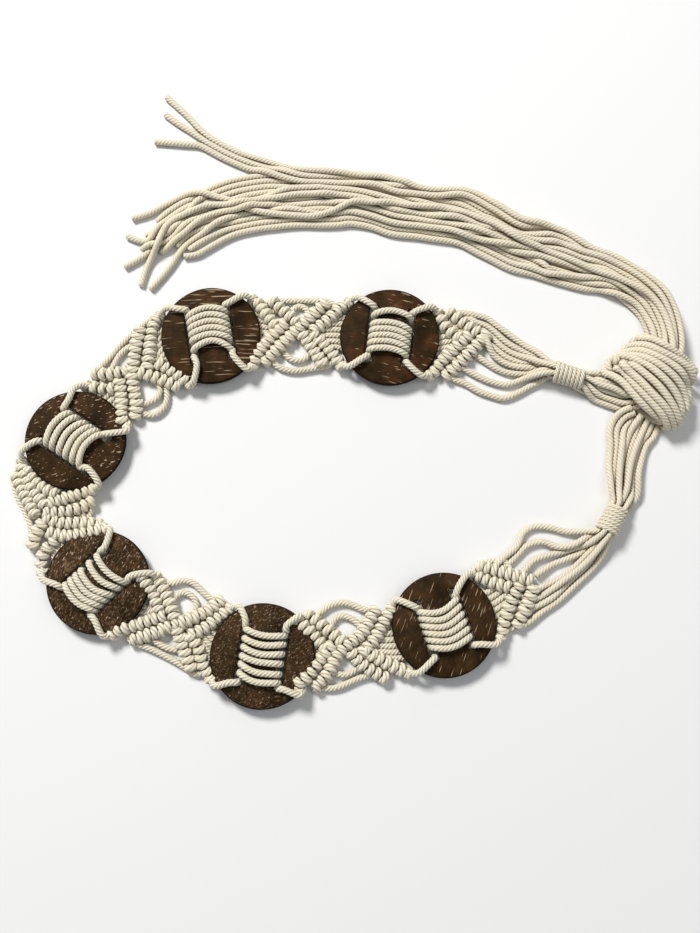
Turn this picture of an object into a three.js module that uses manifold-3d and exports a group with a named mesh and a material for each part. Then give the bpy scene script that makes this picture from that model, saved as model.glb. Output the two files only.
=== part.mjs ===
// A macrame belt of cotton cord threaded through six coconut shell discs, tied in a loop with one
// overhand knot. Millimetres, +Z up, the belt lies on the floor at z = 0.
// +X is the right of the photograph and +Y its top.
import * as THREE from 'three';
import Module from 'manifold-3d';

const wasm = await Module();
wasm.setup();

// Driving sizes
const CORD = 4;            // cord diameter
const GAP = 0.3;           // air kept between pieces that touch
const CENTRE = { x: 6.3, y: 49.4 };   // middle of the belt in the table's own coordinates

const DISC = { radius: 30, thick: 3.6, rimUnderside: 4.7, rise: 3, sides: 18 };
const SLOT = { inner: 8.5, outer: 14, halfLength: 18, corner: 2 };
const BAND = { halfWidth: 13.2, strands: 6 };     // the six cords that cross each disc's bar
const PITCH = 54;                                  // disc centre to panel centre, nominal

// Each disc: centre, and the way that the belt runs there, from end A to end B
const DISCS = [
  { x: 24, y: 78, heading: 172 },
  { x: -84, y: 79, heading: 190 },
  { x: -162.5, y: 14.5, heading: 237 },
  { x: -145.5, y: -69, heading: 314 },
  { x: -50, y: -111, heading: 352.5 },
  { x: 54, y: -93.5, heading: 379 },
];
// Each knotted panel: where its rows cross, and how far it is pushed together before and after
const PANELS = [
  { x: 84, y: 79, heading: 185 },        // end A, only its half towards disc 1
  { x: -30, y: 82.5, heading: 181 },
  { x: -131.5, y: 52.5, heading: 214 },
  { x: -168, y: -26, heading: 275.5, squeeze: [0.66, 0.84] },   // bunched up by the bend
  { x: -98.5, y: -92.5, heading: 334 },
  { x: -1, y: -104.5, heading: 366 },
  { x: 108, y: -68, heading: 385 },      // end B, only its half towards disc 6
];
// One quarter of a panel, towards the next disc (s) and the inside of the loop (t): two rows of
// clove hitches side by side. Each end's s is the first row's middle; t is times the side's reach.
const ARM = { s0: 0, t0: -1.6, s1: 15.5, t1: 20 };
const REACH = { inside: 1.04, outside: 0.9 };
// Section across both rows, along s: the two humps and the valley between them
const ARM_SECTION = [[-2.6, 0], [11.1, 0], [12.8, 4], [10.4, 7.7], [7.2, 7.7], [4.3, 6.2],
  [1.8, 8], [-2.2, 8], [-4.4, 4]];
const LOOPS = [
  { s: 9.5, t: 12, peak: 17, lift: 3.2 },
  { s: 13.8, t: 17.6, peak: 24.5, lift: 3 },
];

// Cords of each fan, from the row to the wrap: x, y, height of each bend
const FAN_A = [
  [[70, 92, 5], [88, 83.5, 3.5], [122, 62.8, 4.6]],
  [[84, 82, 5], [101, 71, 3.5], [122, 60.6, 8.5]],
  [[82, 77, 4], [97, 66.4, 3], [122, 59, 3]],
  [[79, 73, 4], [95, 63, 3], [122, 57.6, 9.5]],
  [[72, 67, 4], [88, 59.6, 2.6], [103, 56.4, 2.6], [122, 55.8, 5.5]],
  [[66, 61, 4], [79, 52.4, 2.4], [95, 48.8, 2.2], [121, 54.4, 8.5]],
  [[60, 54, 4], [75, 45.6, 2.2], [92, 41.8, 2.2], [120, 52.4, 4.2]],
];
const FAN_B = [
  [[86, -60.5, 4], [97, -49.5, 3], [103, -38.6, 2.4], [124, -38.8, 2.6], [146, -35.4, 5]],
  [[92, -58, 4], [104, -47, 5], [126, -48.6, 2.6], [146.8, -36.8, 9.5]],
  [[99, -64, 4], [107, -56.6, 3], [129, -50, 3], [147.6, -38.6, 3]],
  [[108, -65, 4], [127, -55.4, 2.4], [148.4, -39.8, 7]],
  [[106, -73, 4], [128, -63, 2.4], [149.4, -41, 3]],
  [[104, -79, 4], [135, -60, 2.6], [150.2, -41.6, 9.6]],
  [[99, -87, 4], [117, -79, 2.4], [138, -60, 2.4], [151.2, -43, 4]],
  [[98, -93.4, 3.4], [108, -88, 2.4], [134, -66, 2.2], [152, -44, 8]],
];
// The two wrapped ends: first and last turn, from the fan towards the knot
const WRAPS = {
  a: { x0: 121.6, y0: 57.2, x1: 141, y1: 51, r0: 6.9, r1: 6.1, turns: 7 },
  b: { x0: 148.6, y0: -40.6, x1: 158.4, y1: -24.4, r0: 7.2, r1: 6.2, turns: 7 },
};
// The cords between wrap and knot: centre, half width and half height of each section
const NECKS = {
  a: [
    { x: 140.6, y: 51.1, z: 6.6, w: 5.6, h: 5 }, { x: 149, y: 48.2, z: 7, w: 7.4, h: 5 },
    { x: 158, y: 45.2, z: 8, w: 9.6, h: 5 }, { x: 170, y: 45, z: 9, w: 10, h: 5 },
  ],
  b: [
    { x: 158, y: -25, z: 6.8, w: 5.8, h: 5.2 }, { x: 161.4, y: -15.5, z: 6, w: 7.4, h: 5 },
    { x: 163, y: -4, z: 5.4, w: 8.6, h: 4.8 }, { x: 165.4, y: 10, z: 5.6, w: 10, h: 4.6 },
    { x: 168.4, y: 22, z: 7, w: 11, h: 5 }, { x: 172, y: 34, z: 8, w: 11, h: 5 },
  ],
};
// Outline of the knot seen from above, and how it shrinks with height
const KNOT_OUTLINE = [
  [176.5, 78.5], [186, 77], [196.5, 67.5], [206.6, 54.5], [202, 44], [201.6, 35], [199, 25.5],
  [192, 20.8], [182.4, 19], [174, 25.6], [164, 36.4], [158.2, 51], [157, 62], [166, 69.4],
];
const KNOT_LEVELS = [
  { z: 0, size: 0.62 }, { z: 5, size: 0.88 }, { z: 12, size: 0.97 }, { z: 19, size: 0.84 },
  { z: 24, size: 0.56 },
];
// Cords that show on top of the knot, x, y, height
const KNOT_RIBS = [
  [[160, 60, 12], [167, 62.6, 20], [184, 50, 24.5], [196, 28, 13]],
  [[163, 54, 14], [172, 52, 22.6], [183, 41, 23.6], [190, 25, 12]],
  [[162, 49, 12], [176, 36, 20.6], [184, 25, 11]],
  [[170, 70, 12], [187, 60, 24], [199, 40, 13]],
  [[178, 76, 12], [192, 66, 20.6], [204, 52, 10]],
];
// The tail: middle of the bundle of loose cords, half width, height
const TAIL = [
  { x: 188, y: 70, w: 8.5, h: 8, z: 6 }, { x: 191.5, y: 83, w: 9.5, h: 8, z: 6 },
  { x: 183, y: 102, w: 11, h: 8, z: 2 }, { x: 161, y: 119, w: 12, h: 7.8, z: 0 },
  { x: 128, y: 132, w: 15.5, h: 7.6, z: 0 }, { x: 102, y: 140, w: 15.8, h: 7.6, z: 0 },
  { x: 66, y: 154, w: 16.2, h: 7.6, z: 0 }, { x: 29, y: 161.5, w: 18, h: 7.6, z: 0 },
  { x: 2, y: 167.5, w: 16.8, h: 7.6, z: 0 }, { x: -56, y: 168, w: 16, h: 7.4, z: 0 },
  { x: -82, y: 160, w: 17, h: 7, z: 0 },
];
// The loose ends of the tail: each runs on from the bundle to its own cut end
const LOCKS = [
  { r: 3, path: [[-10, 180, 3.6], [-46, 187, 3.4], [-68, 195, 3.2], [-86, 203.5, 3]] },
  { r: 2, path: [[-82, 201.5, 3], [-97, 217, 2.6], [-119.5, 238, 2]] },
  { r: 2, path: [[-82, 201, 3], [-117.5, 226, 2]] },
  { r: 2, path: [[-81, 201, 3], [-123.5, 208, 2]] },
  { r: 3, path: [[-78, 170, 3.4], [-112, 160.6, 3], [-127.5, 144, 3], [-128.6, 113, 3]] },
  { r: 2, path: [[-78, 174, 3.4], [-104, 173, 2.6], [-136, 157, 2]] },
  { r: 2, path: [[-112, 155, 3], [-124, 145, 2.2], [-137.5, 145.4, 2]] },
  { r: 2, path: [[-118, 146, 3], [-139, 125, 2]] },
  { r: 3, path: [[-78, 162, 3.6], [-98, 157, 3.2], [-126, 136, 3]] },
  { r: 2.6, path: [[-78, 154, 3.4], [-97, 145, 3], [-121.5, 111.5, 2.6]] },
  { r: 3, path: [[-78, 147, 3.4], [-90, 142.5, 3], [-104, 132.5, 3]] },
];

// Geometry helpers
const rad = (deg) => (deg * Math.PI) / 180;
const place = ([x, y, z]) => new THREE.Vector3(x - CENTRE.x, y - CENTRE.y, z);

// A closed surface through rings of the same number of points; flat2d is the section, for the caps
function loft(rings, flat2d) {
  const n = rings[0].length;
  const points = rings.flat();
  const tris = [];
  for (let i = 0; i + 1 < rings.length; i++) {
    for (let k = 0; k < n; k++) {
      const a = i * n + k, b = i * n + ((k + 1) % n);
      tris.push([a, b, b + n], [a, b + n, a + n]);
    }
  }
  const cap = THREE.ShapeUtils.triangulateShape(flat2d.map(([x, y]) => new THREE.Vector2(x, y)), []);
  const last = (rings.length - 1) * n;
  const turn = signedArea(flat2d) > 0 ? 1 : -1;
  for (const [a, b, c] of cap) {
    const face = faceTurn(flat2d, a, b, c) * turn > 0 ? [a, b, c] : [a, c, b];
    tris.push([face[0], face[2], face[1]], [last + face[0], last + face[1], last + face[2]]);
  }
  return toManifold(points, tris);
}
function signedArea(poly) {
  return poly.reduce((s, p, i) => {
    const q = poly[(i + 1) % poly.length];
    return s + p[0] * q[1] - q[0] * p[1];
  }, 0);
}
function faceTurn(poly, a, b, c) {
  return signedArea([poly[a], poly[b], poly[c]]);
}
function toManifold(points, tris) {
  let volume = 0;
  for (const [a, b, c] of tris) volume += points[a].dot(points[b].clone().cross(points[c]));
  const order = volume < 0 ? tris.map(([a, b, c]) => [a, c, b]) : tris;
  const vertProperties = new Float32Array(points.flatMap((p) => [p.x, p.y, p.z]));
  return new wasm.Manifold(new wasm.Mesh({
    numProp: 3, vertProperties, triVerts: new Uint32Array(order.flat()),
  }));
}
function tangents(path) {
  return path.map((p, i) => {
    const a = path[Math.max(i - 1, 0)], b = path[Math.min(i + 1, path.length - 1)];
    return b.clone().sub(a).normalize();
  });
}
// A section swept along points, its side direction kept as given or level with the floor
function sweep(path, sectionAt, sideAt) {
  const dirs = tangents(path);
  const up = new THREE.Vector3(0, 0, 1);
  const rings = path.map((p, i) => {
    const side = (sideAt ? sideAt(i) : up.clone().cross(dirs[i])).normalize();
    const normal = dirs[i].clone().cross(side).normalize();
    return sectionAt(i).map(([a, b]) => p.clone().addScaledVector(side, a).addScaledVector(normal, b));
  });
  return loft(rings, sectionAt(0));
}
const polygon = (n, rx, ry = rx, start = 0.5) => Array.from({ length: n }, (_, k) => {
  const w = (2 * Math.PI * (k + start)) / n;
  return [rx * Math.cos(w), ry * Math.sin(w)];
});
// A round cord; its section is carried along without turning
function cord(points, radius, sides = 6) {
  const dirs = tangents(points);
  let side = new THREE.Vector3(0, 0, 1).cross(dirs[0]).normalize();
  const sideList = dirs.map((d) => {
    side = side.clone().addScaledVector(d, -side.dot(d)).normalize();
    return side;
  });
  return sweep(points, () => polygon(sides, radius), (i) => sideList[i]);
}
const join = (list) => list.reduce((a, b) => a.add(b));
// Only the largest body, so that no sliver is left beyond a cut
function largest(manifold) {
  return manifold.decompose().sort((a, b) => volumeOf(b) - volumeOf(a))[0];
}
function volumeOf(manifold) {
  const { vertProperties: v, triVerts: t, numProp: n } = manifold.getMesh();
  const at = (k) => new THREE.Vector3(v[k * n], v[k * n + 1], v[k * n + 2]);
  let sum = 0;
  for (let i = 0; i < t.length; i += 3) sum += at(t[i]).dot(at(t[i + 1]).cross(at(t[i + 2])));
  return sum / 6;
}

// Positions along the belt
const unit = (deg) => [Math.cos(rad(deg)), Math.sin(rad(deg))];
function onDisc(i, s, t, z) {
  const { x, y, heading } = DISCS[i];
  const [c, d] = unit(heading);
  return [x + s * c - t * d, y + s * d + t * c, z];
}
// s runs from the panel's middle, negative towards the disc before it, along a smooth curve
function onPanel(j, s, t, z) {
  const mid = PANELS[j];
  const disc = DISCS[s < 0 ? j - 1 : j];
  if (!disc) {
    const [c, d] = unit(mid.heading);
    return [mid.x + s * c - t * d, mid.y + s * d + t * c, z];
  }
  const [p0, p1] = s < 0 ? [disc, mid] : [mid, disc];
  const u = s < 0 ? 1 + s / PITCH : s / PITCH;
  const span = Math.hypot(p1.x - p0.x, p1.y - p0.y) * 1.04;
  const [ax, ay] = unit(p0.heading), [bx, by] = unit(p1.heading);
  const h = [2 * u ** 3 - 3 * u ** 2 + 1, u ** 3 - 2 * u ** 2 + u, -2 * u ** 3 + 3 * u ** 2,
    u ** 3 - u ** 2];
  const g = [6 * u ** 2 - 6 * u, 3 * u ** 2 - 4 * u + 1, -6 * u ** 2 + 6 * u, 3 * u ** 2 - 2 * u];
  const mix = (w, k) => w[0] * p0[k] + w[2] * p1[k]
    + span * (w[1] * (k === 'x' ? ax : ay) + w[3] * (k === 'x' ? bx : by));
  const gx = mix(g, 'x'), gy = mix(g, 'y'), len = Math.hypot(gx, gy);
  return [mix(h, 'x') - (t * gy) / len, mix(h, 'y') + (t * gx) / len, z];
}

const squeeze = (j, s) => PANELS[j].squeeze?.[s < 0 ? 0 : 1] ?? 1;

// A shell disc: a shallow dome with two long slots either side of its bar
function dome(i, grow = 0) {
  const { radius, thick, rimUnderside, rise, sides } = DISC;
  const under = (r) => rimUnderside + rise * (1 - (r / radius) ** 2);
  const low = [[15, under(12)], [radius - 0.8, under(radius)]];
  const high = [[radius, under(radius) + thick / 2], [radius - 1.2, under(radius) + thick],
    [15, under(12) + thick]];
  const profile = [...low.map(([r, z]) => [r + grow, z - grow]),
    ...high.map(([r, z]) => [r + grow, z + grow])];
  const circle = polygon(sides, 1);
  return loft(profile.map(([r, z]) => circle.map(([a, b]) => place(onDisc(i, a * r, b * r, z)))),
    circle);
}
function shellDisc(i) {
  const body = dome(i);
  const { inner, outer, halfLength: h, corner: c } = SLOT;
  const outline = [[inner, -h], [outer - c, -h], [outer, -h + c], [outer, h - c], [outer - c, h],
    [inner, h]];
  const cutter = (side) => loft([0, 20].map((z) => outline.map(
    ([s, t]) => place(onDisc(i, side * s, t, z)))), outline);
  return body.subtract(cutter(1)).subtract(cutter(-1));
}

// The six cords of a disc as one ribbed band: under the rim, up through a slot, over the bar
const BAND_HALF = [
  { s: 8.6, z: 13.75 }, { s: 11.3, z: 11.7 }, { s: 11.3, z: 7 }, { s: 14, z: 2.4 },
];
function bandSection(half, strands, low, high) {
  const top = Array.from({ length: 2 * strands + 1 }, (_, k) => {
    const a = half - (2 * half * k) / (2 * strands);
    return [a, k % 2 ? high : high - 1];
  });
  return [[-half, low], [half, low], ...top];
}
function lacing(i, blockers) {
  const here = [...[...BAND_HALF].reverse().map(({ s, z }) => ({ s: -s, z })), ...BAND_HALF];
  const stations = [{ panel: i, s: 8, z: 2.05 }, ...here, { panel: i + 1, s: -8, z: 2.05 }];
  const at = (q, t) => place(q.panel === undefined ? onDisc(i, q.s, t, q.z)
    : onPanel(q.panel, q.s, t, q.z));
  const path = stations.map((q) => at(q, 0));
  const section = bandSection(BAND.halfWidth, BAND.strands, -CORD / 2, CORD / 2);
  const narrow = bandSection(11, BAND.strands, -CORD / 2, CORD / 2);
  const body = sweep(path, (k) => (stations[k].panel === undefined ? section : narrow),
    (k) => at(stations[k], -1).sub(at(stations[k], 1)));
  return largest(blockers.reduce((a, b) => a.subtract(b), body));
}

// An outer cord: from the panel's corner over the rim, down the slot's end and under the bar
const SIDE_HALF = [
  { s: 9.4, t: 15.6, z: 4 }, { s: 11.25, t: 15.6, z: 8.4 },
  { s: 12.2, t: 16.8, z: 11.8 }, { s: 20.8, t: 22.4, z: 11 },
];
function sideCord(i, side, blockers) {
  const reach = side > 0 ? REACH.inside : REACH.outside;
  const half = (dir) => {
    const j = dir > 0 ? i + 1 : i;
    const corner = onPanel(j, -dir * 22 * squeeze(j, -dir), side * 19.5 * reach, 6.3);
    const away = Math.max(1, 35 / Math.hypot(corner[0] - DISCS[i].x, corner[1] - DISCS[i].y));
    const end = [DISCS[i].x + (corner[0] - DISCS[i].x) * away,
      DISCS[i].y + (corner[1] - DISCS[i].y) * away, corner[2]];
    return [...SIDE_HALF.map(({ s, t, z }) => onDisc(i, dir * s, side * t, z)), end];
  };
  const path = [...half(-1).reverse(), ...half(1)].map(place);
  return largest(blockers.reduce((a, b) => a.subtract(b), cord(path, CORD / 2, 5)));
}

// A knotted panel: rows of clove hitches crossed like an X, with cord loops along both edges
function arm(j, half, side, grow) {
  const reach = side > 0 ? REACH.inside : REACH.outside;
  const pack = squeeze(j, half);
  const middle = { s: 4.3, z: 4 };
  const rings = [0, 1].map((f) => {
    const s = ARM.s0 + (ARM.s1 * pack - ARM.s0) * f;
    const t = side * (ARM.t0 + (ARM.t1 * reach - ARM.t0) * f + (f - 0.5) * 2 * grow);
    return ARM_SECTION.map(([ds, z]) => {
      const wide = (ds + Math.sign(ds - middle.s) * grow * 1.3) * (1 + f * (pack - 1));
      return place(onPanel(j, half * (s + wide), t, z + Math.sign(z - middle.z) * grow));
    });
  });
  return loft(rings, ARM_SECTION);
}
function panel(j, grow = 0) {
  const halves = j === 0 ? [1] : j === PANELS.length - 1 ? [-1] : [-1, 1];
  const parts = halves.flatMap((half) => [-1, 1].map((side) => arm(j, half, side, grow)));
  if (halves.length === 2) {
    for (const side of [-1, 1]) {
      const reach = side > 0 ? REACH.inside : REACH.outside;
      for (const { s, t, peak, lift } of LOOPS) {
        const arc = [[-s, t], [-s * 0.5, (t + 3 * peak) / 4], [s * 0.5, (t + 3 * peak) / 4],
          [s, t]].map(([a, b]) => place(onPanel(j, a * squeeze(j, a), side * b * reach, lift)));
        parts.push(cord(arc, CORD / 2 + grow, 5));
      }
    }
  }
  const discs = [j - 1, j].filter((i) => DISCS[i]).map((i) => dome(i, Math.max(GAP - grow, 0)));
  return discs.reduce((a, b) => a.subtract(b), join(parts));
}

// A stretch along a wrap's axis, d0 to d1 from its first turn
function alongWrap({ x0, y0, x1, y1 }, d0, d1, section) {
  const len = Math.hypot(x1 - x0, y1 - y0);
  const at = (d) => place([x0 + (d * (x1 - x0)) / len, y0 + (d * (y1 - y0)) / len, 6.6]);
  return sweep([at(d0), at(d1)], section);
}
const wrapLength = ({ x0, y0, x1, y1 }) => Math.hypot(x1 - x0, y1 - y0);
// A fan of cords from an end panel to its wrap, gathered in a short collar
function fan(table, wrap, blockers) {
  const cords = table.map((path) => {
    const points = path.map(place);
    points[points.length - 1].lerp(points[points.length - 2], 0.3);
    return cord(points, CORD / 2, 5);
  });
  const collar = alongWrap(wrap, -10, 1, (i) => polygon(8, i ? 5.4 : 4.2, i ? 5.4 : 4));
  const beyond = alongWrap(wrap, -GAP, 30, () => polygon(10, 14));
  return largest([...blockers, beyond].reduce((a, b) => a.subtract(b), join([...cords, collar])));
}
// The turns of cord wound round each end
function wrapSolid({ x0, y0, x1, y1, r0, r1, turns }) {
  const steps = 2 * turns;
  const rings = Array.from({ length: steps + 1 }, (_, k) => k / steps);
  const path = rings.map((f) => place([x0 + (x1 - x0) * f, y0 + (y1 - y0) * f, 6.9 - 0.4 * f]));
  return sweep(path, (k) => {
    const r = r0 + (r1 - r0) * rings[k] - (k % 2 ? 0 : 0.9);
    return polygon(8, r, r * 0.95);
  });
}
// The cords between wrap and knot, eight ribs
function neck(table, blockers) {
  const section = ({ w, h }) => polygon(12, 1, 1).map(([a, b], k) => {
    const f = k % 2 ? 1 : 0.86;
    return [a * w * f, b * h * f];
  });
  const body = sweep(table.map(({ x, y, z }) => place([x, y, z])), (i) => section(table[i]));
  return largest(blockers.reduce((a, b) => a.subtract(b), body));
}
function knotSolid(grow = 0) {
  const mid = { x: 181, y: 48 };
  const rings = KNOT_LEVELS.map(({ z, size }, k) => KNOT_OUTLINE.map(([x, y]) => {
    const f = size * (1 + grow / 22);
    const lift = k === 0 ? -grow : k === KNOT_LEVELS.length - 1 ? grow : 0;
    return place([mid.x + (x - mid.x) * f, mid.y + (y - mid.y) * f, z + lift]);
  }));
  const ribs = KNOT_RIBS.map((path) => cord(path.map(place), 3.4 + grow, 5));
  return join([loft(rings, KNOT_OUTLINE), ...ribs]);
}
// The loose tail, a flat ribbed bundle that breaks into locks
function tail(blockers) {
  const path = TAIL.map(({ x, y, z }) => place([x, y, z]));
  const bundle = sweep(path, (i) => bandSection(TAIL[i].w, 6, 0, TAIL[i].h));
  const locks = LOCKS.map(({ r, path: p }) => cord(p.map(([x, y, z]) => place([x, y, Math.max(z, r)])),
    r, 5));
  return largest(blockers.reduce((a, b) => a.subtract(b), join([bundle, ...locks])));
}

// Assembly
const group = new THREE.Group();
group.name = 'braided_belt';
const cotton = new THREE.MeshStandardMaterial({ name: 'cotton_cord', color: 0xe4dac2, roughness: 0.9 });
const shell = new THREE.MeshStandardMaterial({ name: 'coconut_shell', color: 0x3d271b, roughness: 0.45 });

function addPart(name, manifold, material) {
  const { vertProperties, triVerts, numProp } = manifold.getMesh();
  const positions = new Float32Array((vertProperties.length / numProp) * 3);
  for (let i = 0; i < positions.length / 3; i++) {
    for (let k = 0; k < 3; k++) positions[3 * i + k] = vertProperties[numProp * i + k];
  }
  const geometry = new THREE.BufferGeometry();
  geometry.setAttribute('position', new THREE.BufferAttribute(positions, 3));
  geometry.setIndex(new THREE.BufferAttribute(new Uint32Array(triVerts), 1));
  geometry.computeVertexNormals();
  const mesh = new THREE.Mesh(geometry, material);
  mesh.name = name;
  group.add(mesh);
}

const grownPanels = PANELS.map((q, j) => panel(j, q.squeeze ? 0.8 : 0.4));
PANELS.forEach((_, j) => {
  const name = j === 0 ? 'end_panel_a' : j === 6 ? 'end_panel_b' : `knotted_panel_${j}`;
  addPart(name, largest(panel(j)), cotton);
});
DISCS.forEach((_, i) => {
  const near = [grownPanels[i], grownPanels[i + 1]];
  addPart(`shell_disc_${i + 1}`, shellDisc(i), shell);
  addPart(`lacing_${i + 1}`, lacing(i, near), cotton);
  addPart(`side_cord_${i + 1}_inside`, sideCord(i, 1, near), cotton);
  addPart(`side_cord_${i + 1}_outside`, sideCord(i, -1, near), cotton);
});
const knotGrown = knotSolid(GAP);
const beforeNeck = (wrap) => alongWrap(wrap, -20, wrapLength(wrap) + GAP, () => polygon(10, 14));
addPart('cord_fan_a', fan(FAN_A, WRAPS.a, [grownPanels[0]]), cotton);
addPart('cord_fan_b', fan(FAN_B, WRAPS.b, [grownPanels[6]]), cotton);
addPart('end_wrap_a', wrapSolid(WRAPS.a), cotton);
addPart('end_wrap_b', wrapSolid(WRAPS.b), cotton);
addPart('neck_a', neck(NECKS.a, [knotGrown, beforeNeck(WRAPS.a)]), cotton);
const neckAGrown = neck(NECKS.a.map((q) => ({ ...q, w: q.w + GAP, h: q.h + GAP })), []);
addPart('neck_b', neck(NECKS.b, [knotGrown, neckAGrown, beforeNeck(WRAPS.b)]), cotton);
addPart('tie_knot', largest(knotSolid()), cotton);
addPart('tail', tail([knotGrown]), cotton);

export default group;
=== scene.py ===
# %% [markdown]
# A macrame belt. Eight twisted cotton cords run from end A through six coconut shell discs and
# five knotted panels to end B. Both ends are tied together in one overhand knot, and the spare
# cord hangs out of it as a long loose tail. This notebook builds the looks of every piece around
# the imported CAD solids, piece by piece, in the order in which the belt would be made.

# %% The frame
import math

import bmesh
import bpy
import numpy as np
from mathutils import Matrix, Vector, kdtree
from mathutils.geometry import delaunay_2d_cdt


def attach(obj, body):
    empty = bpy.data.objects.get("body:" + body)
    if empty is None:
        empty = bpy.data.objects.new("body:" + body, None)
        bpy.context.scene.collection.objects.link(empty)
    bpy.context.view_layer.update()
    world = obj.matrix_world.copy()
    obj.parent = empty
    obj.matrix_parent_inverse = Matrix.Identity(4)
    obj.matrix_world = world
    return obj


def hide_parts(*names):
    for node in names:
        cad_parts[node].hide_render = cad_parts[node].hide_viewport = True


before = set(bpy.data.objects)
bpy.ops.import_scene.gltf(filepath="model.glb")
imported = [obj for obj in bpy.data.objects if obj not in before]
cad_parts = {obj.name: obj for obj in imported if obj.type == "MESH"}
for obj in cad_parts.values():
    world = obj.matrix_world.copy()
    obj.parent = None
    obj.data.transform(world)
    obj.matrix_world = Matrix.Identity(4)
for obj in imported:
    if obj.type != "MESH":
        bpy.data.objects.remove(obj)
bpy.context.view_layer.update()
print("solids in the frame:", len(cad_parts))

# %% [markdown]
# The belt is drawn in millimetres on a table whose origin is under the camera. The CAD solids use
# the same numbers, moved so that the middle of the belt is at the origin, so every point goes
# through one function on its way into a mesh. The places along the routes were picked in the
# photograph and turned into these millimetres through the camera that comes next.

# %% Sizes
CENTRE = np.array([6.3, 49.4, 0.0])   # middle of the belt on the table, mm
CORD = 4.0                            # cord diameter
PLIES = 4                             # strands twisted into one cord
LAY = 9.0                             # length in which a ply goes once round
STEP = 1.15                           # distance between the rings of a cord's mesh


def metres(points):
    """Table millimetres to the shared frame's metres."""
    return (np.asarray(points, float) - CENTRE) * 0.001


def new_object(name, data):
    thing = bpy.data.objects.new(name, data)
    bpy.context.scene.collection.objects.link(thing)
    return thing


# %% [markdown]
# The camera comes first, because everything is judged through it. It stands almost overhead, as
# the photographer did: 10 degrees off the vertical, 600 mm from the table.

# %% Camera
TILT, DISTANCE = math.radians(10), 600
FOCAL = 1006 / 700                    # focal length as a share of the sensor's width


def stand_camera(place, target, sensor=36):
    camera = new_object("camera", bpy.data.cameras.new("camera"))
    camera.location = metres(place)
    look = camera.location - Vector(metres(target))
    camera.rotation_euler = look.to_track_quat("Z", "Y").to_euler()
    camera.data.sensor_fit = "HORIZONTAL"
    camera.data.sensor_width = sensor
    camera.data.lens = sensor * FOCAL
    camera.data.clip_start = 0.01
    camera.data.dof.use_dof = False
    bpy.context.scene.camera = camera
    print("lens", round(camera.data.lens, 2))


stand_camera((0, -DISTANCE * math.sin(TILT), DISTANCE * math.cos(TILT)), (0, 0, 0))

# %% [markdown]
# The light is soft and even, from a panel over the left shoulder, a weaker and larger one from
# the right, and a pale room. The belt lies on a plain off-white floor. The Standard view keeps
# white cotton white and dark shell dark, and the lamps are set for it.

# %% Floor and light
def new_material(name):
    """A material, its node tree and its surface node."""
    material = bpy.data.materials.new(name)
    material.use_nodes = True
    return material, material.node_tree, material.node_tree.nodes["Principled BSDF"]


def set_values(node, values):
    for name, value in values.items():
        node.inputs[name].default_value = value


def floor_sheet(half):
    mesh = bpy.data.meshes.new("floor")
    corners = [(-half, -half, 0), (half, -half, 0), (half, half, 0), (-half, half, 0)]
    mesh.from_pydata(corners, [], [(0, 1, 2, 3)])
    white, _, surface = new_material("floor_white")
    set_values(surface, {"Base Color": (0.80, 0.80, 0.80, 1), "Roughness": 0.9})
    mesh.materials.append(white)
    floor = new_object("floor", mesh)


def soft_panel(name, place, size, power, colour):
    lamp = bpy.data.lights.new(name, "AREA")
    lamp.shape, lamp.size, lamp.energy, lamp.color = "DISK", size, power, colour
    panel = new_object(name, lamp)
    panel.location = place
    panel.rotation_euler = panel.location.to_track_quat("Z", "Y").to_euler()


floor_sheet(3)
soft_panel("panel_left", (-1.1, 1.4, 2.0), 0.75, 80, (1.0, 0.99, 0.965))
soft_panel("panel_right", (1.6, -0.2, 2.6), 1.8, 13, (0.98, 0.99, 1.0))
world = bpy.data.worlds.new("pale_room")
world.use_nodes = True
set_values(world.node_tree.nodes["Background"], {"Color": (0.95, 0.97, 1.0, 1), "Strength": 0.28})
bpy.context.scene.world = world
bpy.context.scene.view_settings.view_transform = "Standard"

# %% [markdown]
# Materials are small node trees. A helper adds a node, sets its values and links its inputs, so
# that each recipe below reads as a list.

# %% Node helpers
def add(tree, kind, inputs=None, **settings):
    """A node of that kind; inputs may be values or output sockets, by name or number."""
    node = tree.nodes.new(kind)
    for name, value in settings.items():
        setattr(node, name, value)
    for name, value in (inputs or {}).items():
        socket = node.inputs[name]
        if isinstance(value, bpy.types.NodeSocket):
            tree.links.new(value, socket)
        else:
            socket.default_value = value
    return node


def maths(tree, operation, a, b=0.0, c=0.0):
    return add(tree, "ShaderNodeMath", {0: a, 1: b, 2: c}, operation=operation).outputs[0]


def noise(tree, vector, scale, detail, roughness=0.5):
    return add(tree, "ShaderNodeTexNoise", {
        "Vector": vector, "Scale": scale, "Detail": detail, "Roughness": roughness}).outputs[0]


def ramp(tree, factor, stops):
    """A colour ramp; a stop's colour is three numbers, or one for a grey."""
    node = add(tree, "ShaderNodeValToRGB", {"Fac": factor})
    elements = node.color_ramp.elements
    while len(elements) < len(stops):
        elements.new(0.5)
    for element, (position, colour) in zip(elements, stops):
        colour = colour if isinstance(colour, tuple) else (colour,) * 3
        element.position, element.color = position, (*colour, 1)
    return node.outputs["Color"]


def mixed(tree, factor, a, b, blend="MIX"):
    return add(tree, "ShaderNodeMix", {0: factor, 6: a, 7: b}, data_type="RGBA",
               blend_type=blend).outputs[2]


def bumped(tree, surface, height, strength, distance):
    bump = add(tree, "ShaderNodeBump", {
        "Height": height, "Strength": strength, "Distance": distance})
    tree.links.new(bump.outputs[0], surface.inputs["Normal"])
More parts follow.
